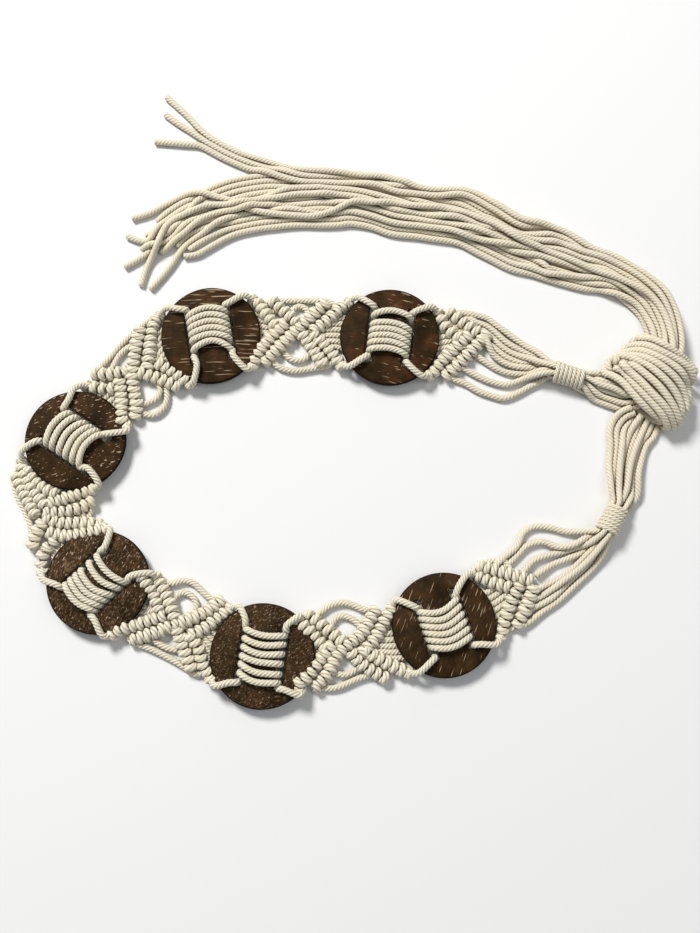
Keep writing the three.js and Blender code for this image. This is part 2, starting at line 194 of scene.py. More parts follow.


# %% [markdown]
# Cotton cord. The mesh of each cord carries a UV map in which u runs along the cord and v goes
# round it with the plies, so v times four, less its whole number, says where on a ply a point is.
# Grooves between plies are darker and warmer than their crowns, which is painted shade, and fine
# fibres follow the plies.
# Blotches on object coordinates keep one long cord from looking dipped in a single colour, and
# the clefts between cords get painted shade from an ambient occlusion node. Where the belt is
# knotted tight the cord is hard, its grooves are deep and their painted shade is dark. In the fans,
# the knot and the tail it is slack and softer, its crown is a little darker and greyer as painted
# shade among loose strands, and the painted shade in its grooves is lighter.

# %% Cotton
def cotton_cord(name, crown, painted_shoulder_shade, painted_furrow_shade, depth):
    material, tree, surface = new_material(name)
    uv = add(tree, "ShaderNodeUVMap", uv_map="UVMap").outputs[0]
    along, around, _ = add(tree, "ShaderNodeSeparateXYZ", {0: uv}).outputs
    over_ply = maths(tree, "FRACT", maths(tree, "MULTIPLY", around, PLIES))
    from_crown = maths(tree, "ABSOLUTE", maths(tree, "SUBTRACT", over_ply, 0.5))
    groove = maths(tree, "MULTIPLY", from_crown, 2)
    stretched = add(tree, "ShaderNodeCombineXYZ", {
        0: maths(tree, "MULTIPLY", along, 1.3), 1: maths(tree, "MULTIPLY", around, 34)})
    fibre = noise(tree, stretched.outputs[0], 1.0, 3.0, 0.6)
    place = add(tree, "ShaderNodeTexCoord").outputs["Object"]
    blotch = ramp(tree, noise(tree, place, 38.0, 2.0), [(0.42, 0), (0.68, 0.55)])
    # Painted shade: colour darkens from the crown through flank and shoulder to the furrow.
    painted_flank_shade = tuple(0.92 * c - 0.01 for c in crown)
    ply = ramp(tree, groove, [(0.0, crown), (0.55, painted_flank_shade), (0.80, painted_shoulder_shade), (1.0, painted_furrow_shade)])
    aged = mixed(tree, blotch, ply, (0.80, 0.72, 0.53, 1))
    lit = mixed(tree, 1.0, aged, ramp(tree, fibre, [(0.3, 0.86), (0.7, 1.0)]), "MULTIPLY")
    # Painted shade: an ambient occlusion node darkens the colour in clefts and where cords lie close.
    hidden = add(tree, "ShaderNodeAmbientOcclusion", {"Distance": 0.0026}, samples=4).outputs["AO"]
    painted_cleft_shade = ramp(tree, hidden, [
        (0.06, (0.12, 0.085, 0.045)), (0.3, (0.50, 0.43, 0.31)), (0.58, 1.0)])
    tree.links.new(mixed(tree, 1.0, lit, painted_cleft_shade, "MULTIPLY"), surface.inputs["Base Color"])
    relief = maths(tree, "MULTIPLY_ADD", groove, -0.7, maths(tree, "MULTIPLY", fibre, 0.5))
    bumped(tree, surface, relief, depth, 0.0005)
    set_values(surface, {"Roughness": 0.9, "Specular IOR Level": 0.2, "Sheen Weight": 0.2,
                         "Sheen Roughness": 0.6})
    return material


# Crown colour, the painted shade on the shoulders and in the furrows, and the depth of the bump.
COTTON = cotton_cord("cotton_cord", (0.92, 0.86, 0.71), (0.62, 0.54, 0.385),
                     (0.36, 0.29, 0.18), 0.8)
# Its crown is a little darker and greyer than the tight cord's: painted shade among loose strands.
SLACK_COTTON = cotton_cord("cotton_cord_slack", (0.86, 0.79, 0.64), (0.70, 0.62, 0.47),
                           (0.48, 0.40, 0.275), 0.55)

# %% [markdown]
# Every cord is a mesh tube on a smooth curve through a few points. The curve is a centripetal
# Catmull-Rom spline, which passes through its points without loops, cut into even steps.

# %% Routes
def through(points, closed=False, fine=10):
    p = np.asarray(points, float)
    if closed:
        q = np.vstack([p[-1], p, p[0], p[1]])
    else:
        q = np.vstack([2 * p[0] - p[1], p, 2 * p[-1] - p[-2]])
    pieces = []
    for a, b, c, d in zip(q[:-3], q[1:-2], q[2:-1], q[3:]):
        t1 = np.linalg.norm(b - a) ** 0.5
        t2 = t1 + np.linalg.norm(c - b) ** 0.5
        t3 = t2 + np.linalg.norm(d - c) ** 0.5
        t = np.linspace(t1, t2, fine, endpoint=False)[:, None]
        a1 = (t1 - t) / t1 * a + t / t1 * b
        a2 = (t2 - t) / (t2 - t1) * b + (t - t1) / (t2 - t1) * c
        a3 = (t3 - t) / (t3 - t2) * c + (t - t2) / (t3 - t2) * d
        b1 = (t2 - t) / t2 * a1 + t / t2 * a2
        b2 = (t3 - t) / (t3 - t1) * a2 + (t - t1) / (t3 - t1) * a3
        pieces.append((t2 - t) / (t2 - t1) * b1 + (t - t1) / (t2 - t1) * b2)
    pieces.append(p[:1] if closed else p[-1:])
    return np.vstack(pieces)


def even(points, step):
    """The same line in even steps of about that length."""
    points = np.asarray(points, float)
    run = np.concatenate([[0], np.cumsum(np.linalg.norm(np.diff(points, axis=0), axis=1))])
    count = max(3, int(round(run[-1] / step)) + 1)
    at = np.linspace(0, run[-1], count)
    return np.stack([np.interp(at, run, points[:, k]) for k in range(3)], axis=1)


def directions(points):
    ahead = np.gradient(points, axis=0)
    return ahead / np.linalg.norm(ahead, axis=1)[:, None]


def length_of(points):
    return float(np.linalg.norm(np.diff(points, axis=0), axis=1).sum())


# %% [markdown]
# The twist is real geometry. Each ring of the tube has twelve corners, a groove and two shoulders
# for each of the four plies, and every ring is turned a little more than the one before. The
# cord is laid to the left, so its marks climb to the right on a cord that lies across the view.
# A closed cord's turns are made whole, so that its plies meet.

# %% Twisted cord
def transported(path, closed):
    """The way ahead and a sideways direction at each point, carried along without turning."""
    if closed:
        ahead = np.roll(path, -1, 0) - np.roll(path, 1, 0)
        ahead /= np.linalg.norm(ahead, axis=1)[:, None]
    else:
        ahead = directions(path)
    side = np.cross(ahead[0], (0, 0, 1) if abs(ahead[0][2]) < 0.9 else (1, 0, 0))
    sides = []
    for direction in ahead:
        side = side - direction * side.dot(direction)
        side = side / np.linalg.norm(side)
        sides.append(side)
    return ahead, np.array(sides)


def twisted_cord(path, radius=CORD / 2, closed=False, columns=12, phase=0.0, lay=LAY,
                 valley=0.82):
    """Corners, faces and face-corner UVs of a four-ply cord along even points, in mm."""
    path = np.asarray(path, float)
    if closed:
        path = path[:-1]
    count = len(path)
    ahead, sides = transported(path, closed)
    step = np.linalg.norm(np.diff(np.vstack([path, path[:1]]) if closed else path, axis=0), axis=1)
    run = np.concatenate([[0], np.cumsum(step)])
    turns = run[:count] / lay
    if closed:
        whole = max(1, round(run[-1] / lay))
        last = sides[-1] - ahead[0] * sides[-1].dot(ahead[0])
        slip = math.atan2(np.cross(sides[0], last).dot(ahead[0]), sides[0].dot(last))
        turns = run[:count] / run[-1] * (whole + slip / (2 * math.pi))
    ply = np.arange(columns) % (columns // PLIES)
    crown = np.where(ply == 0, valley, 1.0)
    size = np.broadcast_to(np.asarray(radius, float), (count,))
    start = 2 * math.pi * (np.arange(columns) / columns + phase)
    angle = start[None, :] - 2 * math.pi * turns[:, None]
    up = np.cross(ahead, sides)
    ring = size[:, None] * crown[None, :]
    corners = (path[:, None, :] + (ring * np.cos(angle))[..., None] * sides[:, None, :]
               + (ring * np.sin(angle))[..., None] * up[:, None, :]).reshape(-1, 3)
    rows = count if closed else count - 1
    i, k = np.meshgrid(np.arange(rows), np.arange(columns), indexing="ij")
    i, k = i.ravel(), k.ravel()
    near, far, right = i * columns, ((i + 1) % count) * columns, (k + 1) % columns
    faces = np.concatenate([
        np.stack([near + k, near + right, far + right], 1),
        np.stack([near + k, far + right, far + k], 1)])
    u0, u1, v0, v1 = run[i] / 10, run[i + 1] / 10, k / columns, (k + 1) / columns
    uvs = np.concatenate([
        np.stack([u0, v0, u0, v1, u1, v1], 1), np.stack([u0, v0, u1, v1, u1, v0], 1)])
    if not closed:
        for end, at in ((0, 0), (count - 1, (count - 1) * columns)):
            tip = path[end] + ahead[end] * (0.25 * size[end]) * (-1 if end == 0 else 1)
            corners = np.vstack([corners, tip])
            c = np.arange(columns)
            cap = np.stack([at + c, at + (c + 1) % columns, np.full(columns, len(corners) - 1)], 1)
            if end == 0:
                cap = cap[:, [1, 0, 2]]
            faces = np.vstack([faces, cap])
            uvs = np.vstack([uvs, np.tile([run[end] / 10, 0.125] * 3, (columns, 1))])
    return corners, faces, uvs


# %% [markdown]
# Finished pieces go through two helpers: one joins the cords of a piece into one mesh with its UV
# map, the other hangs it under the root and hides the CAD solid that it stands for. All cord that is
# drawn is also measured, for the total at the end.

# %% Piece helpers
drawn = []                            # length of every cord, mm


def measured(paths):
    drawn.extend(length_of(path) for path in paths)
    return paths


def uv_mesh(name, corners, faces, uvs, material=None):
    mesh = bpy.data.meshes.new(name)
    mesh.from_pydata(corners.tolist(), [], faces.tolist())
    mesh.uv_layers.new(name="UVMap").data.foreach_set("uv", uvs.ravel())
    mesh.shade_smooth()
    if material:
        mesh.materials.append(material)
    return mesh


def mesh_piece(name, parts, material=COTTON):
    """One object out of several cords' corners, faces and UVs."""
    first = np.cumsum([0] + [len(part[0]) for part in parts])
    faces = np.vstack([part[1] + base for part, base in zip(parts, first)])
    corners, uvs = np.vstack([part[0] for part in parts]), np.vstack([part[2] for part in parts])
    return new_object(name, uv_mesh(name, metres(corners), faces, uvs, material))


def stands_for(piece, node):
    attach(piece, "root")
    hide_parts(node)


# %% [markdown]
# Places along the belt. Each disc has a centre and a heading, and each panel lies on a smooth
# bend between the discs on either side. s runs along the belt and t across it, positive towards
# the inside of the loop.

# %% Places on the belt
# x, y and heading of each disc and of each panel
DISCS = [(24, 78, 172), (-84, 79, 190), (-162.5, 14.5, 237),
         (-145.5, -69, 314), (-50, -111, 352.5), (54, -93.5, 379)]
PANELS = [(84, 79, 185), (-30, 82.5, 181), (-131.5, 52.5, 214), (-168, -26, 275.5),
          (-98.5, -92.5, 334), (-1, -104.5, 366), (108, -68, 385)]
PITCH = 54.0                          # disc centre to panel centre


def heading(degrees):
    return np.array([math.cos(math.radians(degrees)), math.sin(math.radians(degrees))])


def beside(place, s, t, z):
    """s along and t across the heading of a disc or panel, and z above the floor."""
    x, y, turn = place
    c, d = heading(turn)
    return [x + s * c - t * d, y + s * d + t * c, z]


def on_disc(i, s, t, z):
    return beside(DISCS[i], s, t, z)


def on_panel(j, s, t, z):
    """The same for a panel, following the bend to the disc on that side."""
    other = j - 1 if s < 0 else j
    if not 0 <= other < len(DISCS):
        return beside(PANELS[j], s, t, z)
    start, stop = (DISCS[other], PANELS[j]) if s < 0 else (PANELS[j], DISCS[other])
    u = 1 + s / PITCH if s < 0 else s / PITCH
    p0, p1 = np.array(start[:2], float), np.array(stop[:2], float)
    m0, m1 = heading(start[2]), heading(stop[2])
    span = np.linalg.norm(p1 - p0) * 1.04
    place = ((2 * u**3 - 3 * u**2 + 1) * p0 + (u**3 - 2 * u**2 + u) * span * m0
             + (3 * u**2 - 2 * u**3) * p1 + (u**3 - u**2) * span * m1)
    along = ((6 * u**2 - 6 * u) * (p0 - p1) + (3 * u**2 - 4 * u + 1) * span * m0
             + (3 * u**2 - 2 * u) * span * m1)
    along /= np.linalg.norm(along)
    return [place[0] - t * along[1], place[1] + t * along[0], z]


# %% [markdown]
# The discs are sawn out of coconut shell, so each is a shallow dome 60 mm across and 3.6 mm thick
# with a long slot on either side of a bar. The outline and the slots are triangulated flat, with
# a few rings close to every edge, and then each point is lifted to the dome. Near an edge the
# thickness falls away on a quarter circle, which gives the sanded round edge of the real thing.

# %% Disc shape
RADIUS, THICK, RIM_UNDER, RISE, SOFT = 30.0, 3.6, 4.7, 3.0, 0.9
SLOT_IN, SLOT_OUT, SLOT_HALF, SLOT_CORNER = 8.5, 14, 18, 1.6
SLOT_MIDDLE = (SLOT_IN + SLOT_OUT) / 2
GRID, CLEAR = 2.0, 1.6                # spacing of the inner points, and their distance from edges
NEARLY = 0.05                         # how far off a slot's edge a corner may be and count as on it


def slot_loop(side, grow):
    """One slot's outline grown outwards, with round corners."""
    inner, outer = SLOT_IN - grow, SLOT_OUT + grow
    half, corner = SLOT_HALF + grow, SLOT_CORNER + grow
    right, left, top, bottom = outer - corner, inner + corner, half - corner, -half + corner
    loop = []
    for cx, cy, start in ((right, top, 0), (left, top, 90), (left, bottom, 180), (right, bottom, 270)):
        for a in np.radians(np.linspace(start, start + 90, 6)):
            loop.append((cx + corner * math.cos(a), cy + corner * math.sin(a)))
    loop = even([(x, y, 0) for x, y in loop + loop[:1]], 1.4)[:-1, :2]
    return [(side * x, y) for x, y in (loop if side > 0 else loop[::-1])]


def disc_outline(i, shrink, count=120):
    random = np.random.default_rng(40 + i)
    wobble = sum(random.uniform(-0.12, 0.12) * np.cos(np.arange(count) * 2 * math.pi * n / count
                                                      + random.uniform(0, 6)) for n in (2, 3, 5))
    a = np.arange(count) * 2 * math.pi / count
    return [((RADIUS - shrink + w) * math.cos(t), (RADIUS - shrink + w) * math.sin(t))
            for t, w in zip(a, wobble)]


def shell_disc(i, material):
    flat, loops, depth = [], [], []
    for step in (0.0, 0.16 * SOFT, 0.5 * SOFT, SOFT):
        for loop in (disc_outline(i, step), slot_loop(1, step), slot_loop(-1, step)):
            loops.append(list(range(len(flat), len(flat) + len(loop))))
            flat += loop
            depth += [step] * len(loop)
    grid = np.arange(GRID - RADIUS, RADIUS - GRID + 0.1, GRID)
    for x in grid:
        for y in grid:
            in_slot = SLOT_IN - CLEAR < abs(x) < SLOT_OUT + CLEAR and abs(y) < SLOT_HALF + CLEAR
            if math.hypot(x, y) < RADIUS - CLEAR and not in_slot:
                flat.append((x, y))
                depth.append(SOFT)
    edges = [(loop[k], loop[(k + 1) % len(loop)]) for loop in loops for k in range(len(loop))]
    flat, _, faces, _, _, _ = delaunay_2d_cdt(flat, edges, [], 0, 1e-6)
    flat = np.array([tuple(p) for p in flat])

    def hollow(face):
        """A triangle that spans a slot and so belongs to no material."""
        x, y = flat[list(face)].mean(0)
        return (SLOT_IN < abs(x) < SLOT_OUT and abs(y) < SLOT_HALF
                and any(depth[k] == 0 for k in face)
                and all(SLOT_IN - NEARLY <= abs(flat[k][0]) <= SLOT_OUT + NEARLY for k in face))

    faces = [tuple(f) for f in faces if not hollow(f)]
    depth = np.array(depth)[:len(flat)]
    half = THICK / 2 * np.sqrt(np.clip(1 - (1 - depth / SOFT) ** 2, 0, 1))
    middle = RIM_UNDER + RISE * (1 - (flat**2).sum(1) / RADIUS**2) + THICK / 2
    twin = {k: (k if depth[k] == 0 else len(flat) + k) for k in range(len(flat))}
    places = [on_disc(i, s, t, z) for sign in (1, -1)
              for (s, t), z in zip(flat, middle + sign * half)]
    under = [tuple(twin[k] for k in f[::-1]) for f in faces]
    mesh = bpy.data.meshes.new(f"disc_{i + 1}")
    mesh.from_pydata(metres(places).tolist(), [], faces + under)
    work = bmesh.new()
    work.from_mesh(mesh)
    bmesh.ops.delete(work, geom=[v for v in work.verts if not v.link_faces], context="VERTS")
    bmesh.ops.recalc_face_normals(work, faces=work.faces)
    work.to_mesh(mesh)
    work.free()
    mesh.shade_smooth()
    mesh.materials.append(material)
    loose = sum(edge.is_loose for edge in mesh.edges)
    print(mesh.name, len(mesh.polygons), "faces,", loose, "loose edges")
    return new_object(mesh.name, mesh)


# %% [markdown]
# Polished coconut shell is dark brown with a reddish cast, and light fibres break its surface as
# streaks or short flecks, each disc in its own way and direction. The recipe is one function, and
# a table gives each disc its grain angle, streak length and amounts.

# %% Coconut shell
def coconut_shell(i, angle, long, streaks, specks, red, tan):
    material, tree, surface = new_material(f"coconut_shell_{i + 1}")
    centre = metres((*DISCS[i][:2], 0))
    place = add(tree, "ShaderNodeTexCoord").outputs["Object"]
    local = add(tree, "ShaderNodeMapping", {
        "Vector": place, "Location": tuple(-c for c in centre)}, vector_type="POINT").outputs[0]
    turned = add(tree, "ShaderNodeVectorRotate", {
        "Vector": local, "Angle": math.radians(-angle)}, rotation_type="Z_AXIS").outputs[0]

    def stretched(length, width, height=200):
        """The disc's own coordinates, so that one unit is that many mm along and across."""
        return add(tree, "ShaderNodeMapping", {
            "Vector": turned, "Scale": (1000 / length, 1000 / width, height)}).outputs[0]

    body = noise(tree, turned, 75.0, 6.0, 0.65)
    brown = ramp(tree, body, [
        (0.32, (0.015, 0.0085, 0.0032)), (0.5, (0.034, 0.0195, 0.0078)),
        (0.62, (0.046 + red * 2, 0.026, 0.0105)),
        (0.75, (0.075 + tan, 0.049 + tan * 0.72, 0.024 + tan * 0.4))])
    hair = noise(tree, stretched(5, 0.4), 1.0, 3.0, 0.6)
    brown = mixed(tree, 1.0, brown, ramp(tree, hair, [(0.3, 0.62), (0.7, 1.3)]), "MULTIPLY")
    streak_noise = noise(tree, stretched(long, 0.9), 1.0, 1.5)
    lift = maths(tree, "MULTIPLY_ADD", noise(tree, turned, 60.0, 1.0), 0.22, streak_noise)
    streak = ramp(tree, lift, [(0.79 - streaks, 0), (0.85 - streaks, 1)])
    speck_noise = noise(tree, stretched(1.9, 1.0, 600), 1.0, 4.0, 0.75)
    speck = ramp(tree, speck_noise, [(0.70 - specks, 0), (0.80 - specks, 0.75)])
    colour = mixed(tree, speck, brown, (0.21, 0.15, 0.09, 1))
    colour = mixed(tree, streak, colour, (0.40, 0.29, 0.19, 1))
    flat = add(tree, "ShaderNodeMapping", {"Vector": local, "Scale": (1, 1, 0)}).outputs[0]
    out = add(tree, "ShaderNodeVectorMath", {0: flat}, operation="LENGTH").outputs["Value"]
    rim = ramp(tree, maths(tree, "MULTIPLY", out, 33.0), [(0.955, 0), (0.975, 1)])
    tree.links.new(mixed(tree, rim, colour, (0.014, 0.009, 0.005, 1)), surface.inputs["Base Color"])
    tree.links.new(ramp(tree, body, [(0.3, 0.50), (0.7, 0.66)]), surface.inputs["Roughness"])
    bumped(tree, surface, maths(tree, "MULTIPLY_ADD", streak_noise, 0.6, speck_noise), 0.35, 0.0003)
    set_values(surface, {"Specular IOR Level": 0.03})
    return material


# grain angle, streak length in mm, how many streaks, how many specks, redness, tan patches
SHELL_LOOKS = [(-16, 7, 0.0, 0.03, 0.010, 0), (2, 14, 0.04, 0.02, 0.006, 0),
               (20, 3.0, 0.03, 0.035, 0.003, 0.01), (60, 2.6, 0.02, 0.165, 0.004, 0.09),
               (35, 2.2, 0.0, 0.155, 0.003, 0.02), (70, 11, 0.015, 0.05, 0.004, 0)]
for i, look in enumerate(SHELL_LOOKS):
    stands_for(shell_disc(i, coconut_shell(i, *look)), f"shell_disc_{i + 1}")

# %% [markdown]
# Each quarter of a panel has two rows side by side, which open away from the crossing like nested
# arrowheads. One row runs on through the crossing to the opposite corner, and the others stop
# short of it. The tables give a few places along each row and along each loop of cord at the
# panel's edges, in table millimetres, panel by panel from end A to end B.

# %% Panel tables
# x and y of a few places along each row of hitches
PANEL_ROWS = [
    # the end panel at A
    [[(65.5, 78.5), (58.5, 84.5), (53, 94)],
     [(76.5, 82), (68.5, 88), (61, 94)],
     [(71.5, 79.5), (63, 71.5), (54.5, 63), (50.5, 57.5)],
     [(82.5, 80.5), (75, 72), (66.5, 63), (58, 55)]],
    # panel 1
    [[(-46, 86.5), (-52, 94.5), (-56.5, 101)],
     [(-33, 88.5), (-40, 95), (-46.5, 101)],
     [(-40, 87), (-47.5, 79), (-53, 72.5), (-56, 67.5)],
     [(-15, 100), (-22.5, 93), (-29, 86.5), (-40.5, 75), (-51, 64)],
     [(-22, 83), (-14, 89), (-5, 98)],
     [(-28.5, 80), (-22.5, 71.5), (-17, 63)],
     [(-22, 80), (-14, 72.5), (-5, 61)]],
    # panel 2
    [[(-122, 60), (-121, 70), (-120.5, 79.5), (-118, 90)],
     [(-127.5, 83.5), (-130, 69), (-131, 54.5), (-129.5, 45), (-127.5, 36), (-128.5, 30)],
     [(-115, 62), (-107, 57.5), (-95.5, 49.5)],
     [(-126, 56.5), (-115, 53), (-104, 48.5)],
     [(-138.5, 51), (-137, 41), (-136, 27)],
     [(-135, 57.5), (-144.5, 55.5), (-153, 56)],
     [(-143, 46.5), (-150, 46.5), (-158.5, 48.5)]],
    # panel 3
    [[(-179.5, -23.5), (-186.5, -15.5), (-194, -2)],
     [(-185, -29), (-190, -20.5), (-197, -7)],
     [(-173.6, -16.8), (-180, -13.8), (-185.6, -9.3), (-190, -4)],
     [(-176, -22.5), (-167, -19.5), (-152, -14.5)],
     [(-178.5, -28.5), (-167, -27.5), (-158, -25), (-153, -21.5)],
     [(-178, -32), (-168, -34.5), (-158, -34.5), (-147.5, -35.5)],
     [(-175.5, -40), (-166, -42.3), (-155.5, -40.8), (-145, -38.6)],
     [(-180.5, -35), (-184.5, -42.5), (-185.5, -47)],
     [(-173, -45), (-177.5, -50.5), (-180, -56)]],
    # panel 4
    [[(-110.5, -84.5), (-114, -75.5), (-120, -66.5)],
     [(-101.5, -89), (-105, -79), (-113, -66)],
     [(-108, -88.5), (-119.5, -92.5), (-131, -95.5)],
     [(-125, -101.5), (-114.5, -98.5), (-104.5, -94.5), (-94.5, -91), (-82.5, -85.5), (-75, -80)],
     [(-91, -99), (-84, -95.5), (-77.5, -90.5), (-69.5, -84.5)],
     [(-99.5, -96.5), (-96, -105.5), (-91, -117)],
     [(-92, -100), (-87, -106.5), (-84.5, -115.5), (-79.5, -122)]],
    # panel 5
    [[(-14.5, -106.5), (-22, -98.5), (-30, -91)],
     [(-5, -102.5), (-12.5, -96.5), (-24, -88)],
     [(-10.5, -105.5), (-17.5, -113.5), (-23.5, -121.5), (-29.5, -127)],
     [(-20, -128), (-13.5, -121.5), (-7, -110), (-0.5, -104), (6.5, -98.5), (14.5, -85.5)],
     [(7.5, -109), (14, -101.5), (18.5, -93.5), (24, -84.5)],
     [(1, -109.5), (8, -116.5), (19.5, -123)],
     [(9, -108), (17, -113), (29.5, -119)]],
    # the end panel at B
    [[(91.5, -71.5), (83.5, -69.5), (71, -64)],
     [(104.5, -68), (93, -64.5), (76, -60)],
     [(98, -71), (93, -80), (87.5, -96)],
     [(106.5, -72.5), (103, -81), (96.5, -93)]],
]
# the same for the loops of cord at the panels' edges
PANEL_LOOPS = [
    # the end panel at A
    [[(56.5, 94), (64.5, 94.5), (71.5, 92.5), (76, 90)]],
    # panel 1
    [[(-41, 71), (-37.5, 67), (-34, 65), (-30, 65), (-26.5, 66.5), (-24, 70)],
     [(-48.5, 66), (-43.5, 61), (-38.5, 59), (-33, 58.3), (-27, 59), (-21, 60), (-14.5, 61)],
     [(-37, 94), (-34, 97.5), (-31, 99), (-28, 98), (-25, 95)],
     [(-50, 101.5), (-43, 102.3), (-32, 102.6), (-21, 102.4), (-12, 101.5)]],
    # panel 2
    [[(-117.5, 52), (-114.5, 48), (-114.5, 44.5), (-116.5, 41), (-120, 39), (-125, 37)],
     [(-112.5, 52), (-110.3, 45.5), (-110, 40.5), (-111.3, 36.3), (-114, 33), (-117.5, 31),
      (-121.5, 31), (-127, 32.5)],
     [(-131.5, 74), (-135.7, 72), (-140, 67.5), (-142.5, 62.5), (-144, 58.5)],
     [(-122, 90), (-127.7, 85.5), (-133.5, 80.3), (-139.5, 74), (-145, 67), (-151, 60)]],
    # panel 3
    [[(-197, -1.5), (-199, -7.5), (-198.3, -13.5), (-196, -19.5), (-192.5, -25.5), (-189.5, -31.5),
      (-187.5, -37), (-186, -43)],
     [(-154.5, -20.5), (-152.3, -24), (-153.3, -28.5), (-154, -32.5)],
     [(-159, -24), (-157, -27), (-157.3, -31), (-158.7, -33)],
     [(-184.5, -43.5), (-186.7, -47.5), (-184.5, -50), (-180.8, -49)]],
    # panel 4
    [[(-103, -79), (-99.8, -76), (-96.4, -74.8), (-93, -76), (-90, -79), (-89, -82.6),
      (-89.7, -86)],
     [(-113, -66), (-107, -69.3), (-102.3, -69.3), (-97.7, -68), (-93, -68.5), (-89, -71),
      (-85.4, -74.5), (-81.2, -78), (-75, -80.3)],
     [(-114, -101), (-110.5, -103.7), (-106, -106.2), (-98, -107.5)],
     [(-126, -102.5), (-118, -105.7), (-110.3, -109), (-103.3, -112.5), (-96.3, -116.4),
      (-87.6, -121.2)]],
    # panel 5
    [[(-11.5, -94.5), (-8.7, -90.3), (-5, -88.3), (-1, -89), (2.3, -90.6), (6, -94)],
     [(-20, -88.3), (-16.2, -85.7), (-13.3, -83.4), (-9.8, -81.7), (-5.8, -80.7), (-1.2, -81),
      (3, -82.4), (7, -84.3), (12.2, -85)],
     [(-11, -119.5), (-5.7, -121.5), (-1.1, -121.2), (3, -119), (6.3, -115.6)],
     [(-18.3, -128.4), (-11.4, -129.3), (-5.7, -128.2), (0, -125.8), (5.7, -123.4), (11.4, -122),
      (19.5, -121.5)]],
    # the end panel at B
    [[(75, -60), (80.5, -57.4), (86.4, -56.4), (91.5, -57.5)],
     [(88.3, -95.7), (93.5, -95.2), (98.7, -93.5)]],
]
print("rows:", sum(map(len, PANEL_ROWS)), "loops:", sum(map(len, PANEL_LOOPS)))

# %% [markdown]
# The two outer cords of the eight cross each disc's rim at four places, and the panel's rows start
# there. The table gives, for each disc and side, the rim and the dive into the slot before the bar,
# and the dive and the rim after it. A row whose end is near such a place is carried on towards it.

# %% Places on the rims
# s and t of rim, dive, dive and rim, on the inside of the loop (1) and on the outside (-1)
SIDE_CORDS = [
    {1: [(-19.9, 19.6), (-7.6, 14.4), (9.8, 13.6), (21, 21.4)],
     -1: [(-22, -20.8), (-9, -15), (8.6, -16), (21.7, -19.8)]},
    {1: [(-15.2, 20.9), (-8.9, 12), (8.6, 12.2), (12.6, 24.4)],
     -1: [(-21.5, -18.8), (-10.1, -15.8), (9.8, -16.6), (21.8, -19.2)]},
    {1: [(-19.7, 21.2), (-10, 12.2), (8, 12.2), (12, 23.6)],
     -1: [(-23.6, -16.6), (-11.6, -15.6), (7.2, -15.7), (20.5, -19.6)]},
    {1: [(-15, 21.8), (-8.4, 12.6), (8.6, 12.4), (15, 21.4)],
     -1: [(-20.7, -19.6), (-9.8, -16.2), (10.3, -14.6), (22.4, -15.6)]},
    {1: [(-16.6, 24.6), (-8.6, 15.2), (7.6, 15.4), (16.4, 22.6)],
     -1: [(-22.6, -18.4), (-10.6, -15.7), (8.6, -16.2), (22.6, -17.2)]},
    {1: [(-20.7, 21), (-9.7, 13.4), (8.7, 13.2), (20.6, 21.6)],
     -1: [(-22.4, -19.6), (-8.8, -15), (9.8, -15.5), (22.6, -18.6)]},
]
RIM_OUT, FIRST_HITCH = 32.4, 4.6      # just off the rim, and the room that the cord needs there


def nearest_tip(j, place):
    """Distance to the nearest end of a row of panel j, which row it is and which end."""
    return min((math.dist(row[at], place), n, at)
               for n, row in enumerate(PANEL_ROWS[j]) for at in (0, -1))


rim_reach = 0.0
for i, sides in enumerate(SIDE_CORDS):
    for side in sides.values():
        for rim, j in ((side[0], i), (side[3], i + 1)):
            out = np.array(rim) * (RIM_OUT / np.hypot(*rim))
            place = on_disc(i, *out, 0)[:2]
            gap, n, at = nearest_tip(j, place)
            if 6.0 < gap < 16:
                tip = np.array(PANEL_ROWS[j][n][at], float)
                reached = tuple(tip + (np.array(place) - tip) * (1 - FIRST_HITCH / gap))
                PANEL_ROWS[j][n].insert(0 if at == 0 else len(PANEL_ROWS[j][n]), reached)
                rim_reach += gap - FIRST_HITCH
print("rows carried on by", round(rim_reach), "mm in all")

# %% [markdown]
# Six cords cross the bar of each disc side by side. They come from under the rim, rise through
# one slot, bow a little towards the outside of the loop, and go down through the other slot. The
# table gives, for each disc, the place across the belt of each cord: before, on and after the bar.

# %% Cords over each bar
STRANDS = [
    [(-12, -14.5, -11), (-4.2, -7, -5.3), (-0.2, -3, -1.4), (3.7, 0.8, 2.6), (7.3, 4.7, 6.5),
     (11.4, 8.9, 10.9)],
    [(-12.1, -15.4, -12), (-7.5, -11.1, -8.3), (-3.2, -7, -4.5), (1, -2.9, -0.7), (5.3, 1.2, 3.2),
     (12.2, 5.3, 9)],
    [(-11.4, -14.4, -11.3), (-6.6, -9.6, -7.3), (-0.4, -4.6, -2.2), (4.1, 0.2, 2.4),
     (8.1, 4.5, 7.3), (12.2, 8.6, 12.4)],
    [(-14, -15.6, -11.4), (-10, -11.7, -7.3), (-6.2, -7.8, -3.2), (-2.2, -3.9, 1), (4.1, 2.4, 6.6),
     (10.1, 8.5, 11.4)],
    [(-10.6, -14.6, -13.4), (-5.6, -9.4, -8.8), (-1.2, -3.4, -2.9), (3.9, 1, 2.7), (8.6, 6.2, 8.2),
     (14, 11.5, 13)],
    [(-9.2, -13.1, -10.4), (-4.8, -9, -6), (-0.6, -4.9, -1.5), (3.5, -0.8, 3), (7.8, 3.4, 7.6),
     (11.6, 7.8, 12)],
]
LACING_RADIUS = 1.95                  # a little under half a cord, pulled taut
# place along the belt, place across as a share of the way from the bar's value, height
OVER_THE_BAR = ((-11.2, 1, 7.2), (-11.0, 0.9, 11.2), (-8.8, 0.62, 13.6), (-4.5, 0.18, 14.0),
                (0, 0, 14.1), (4.5, 0.18, 14.0), (8.8, 0.62, 13.6), (11.0, 0.9, 11.2), (11.2, 1, 7.2))


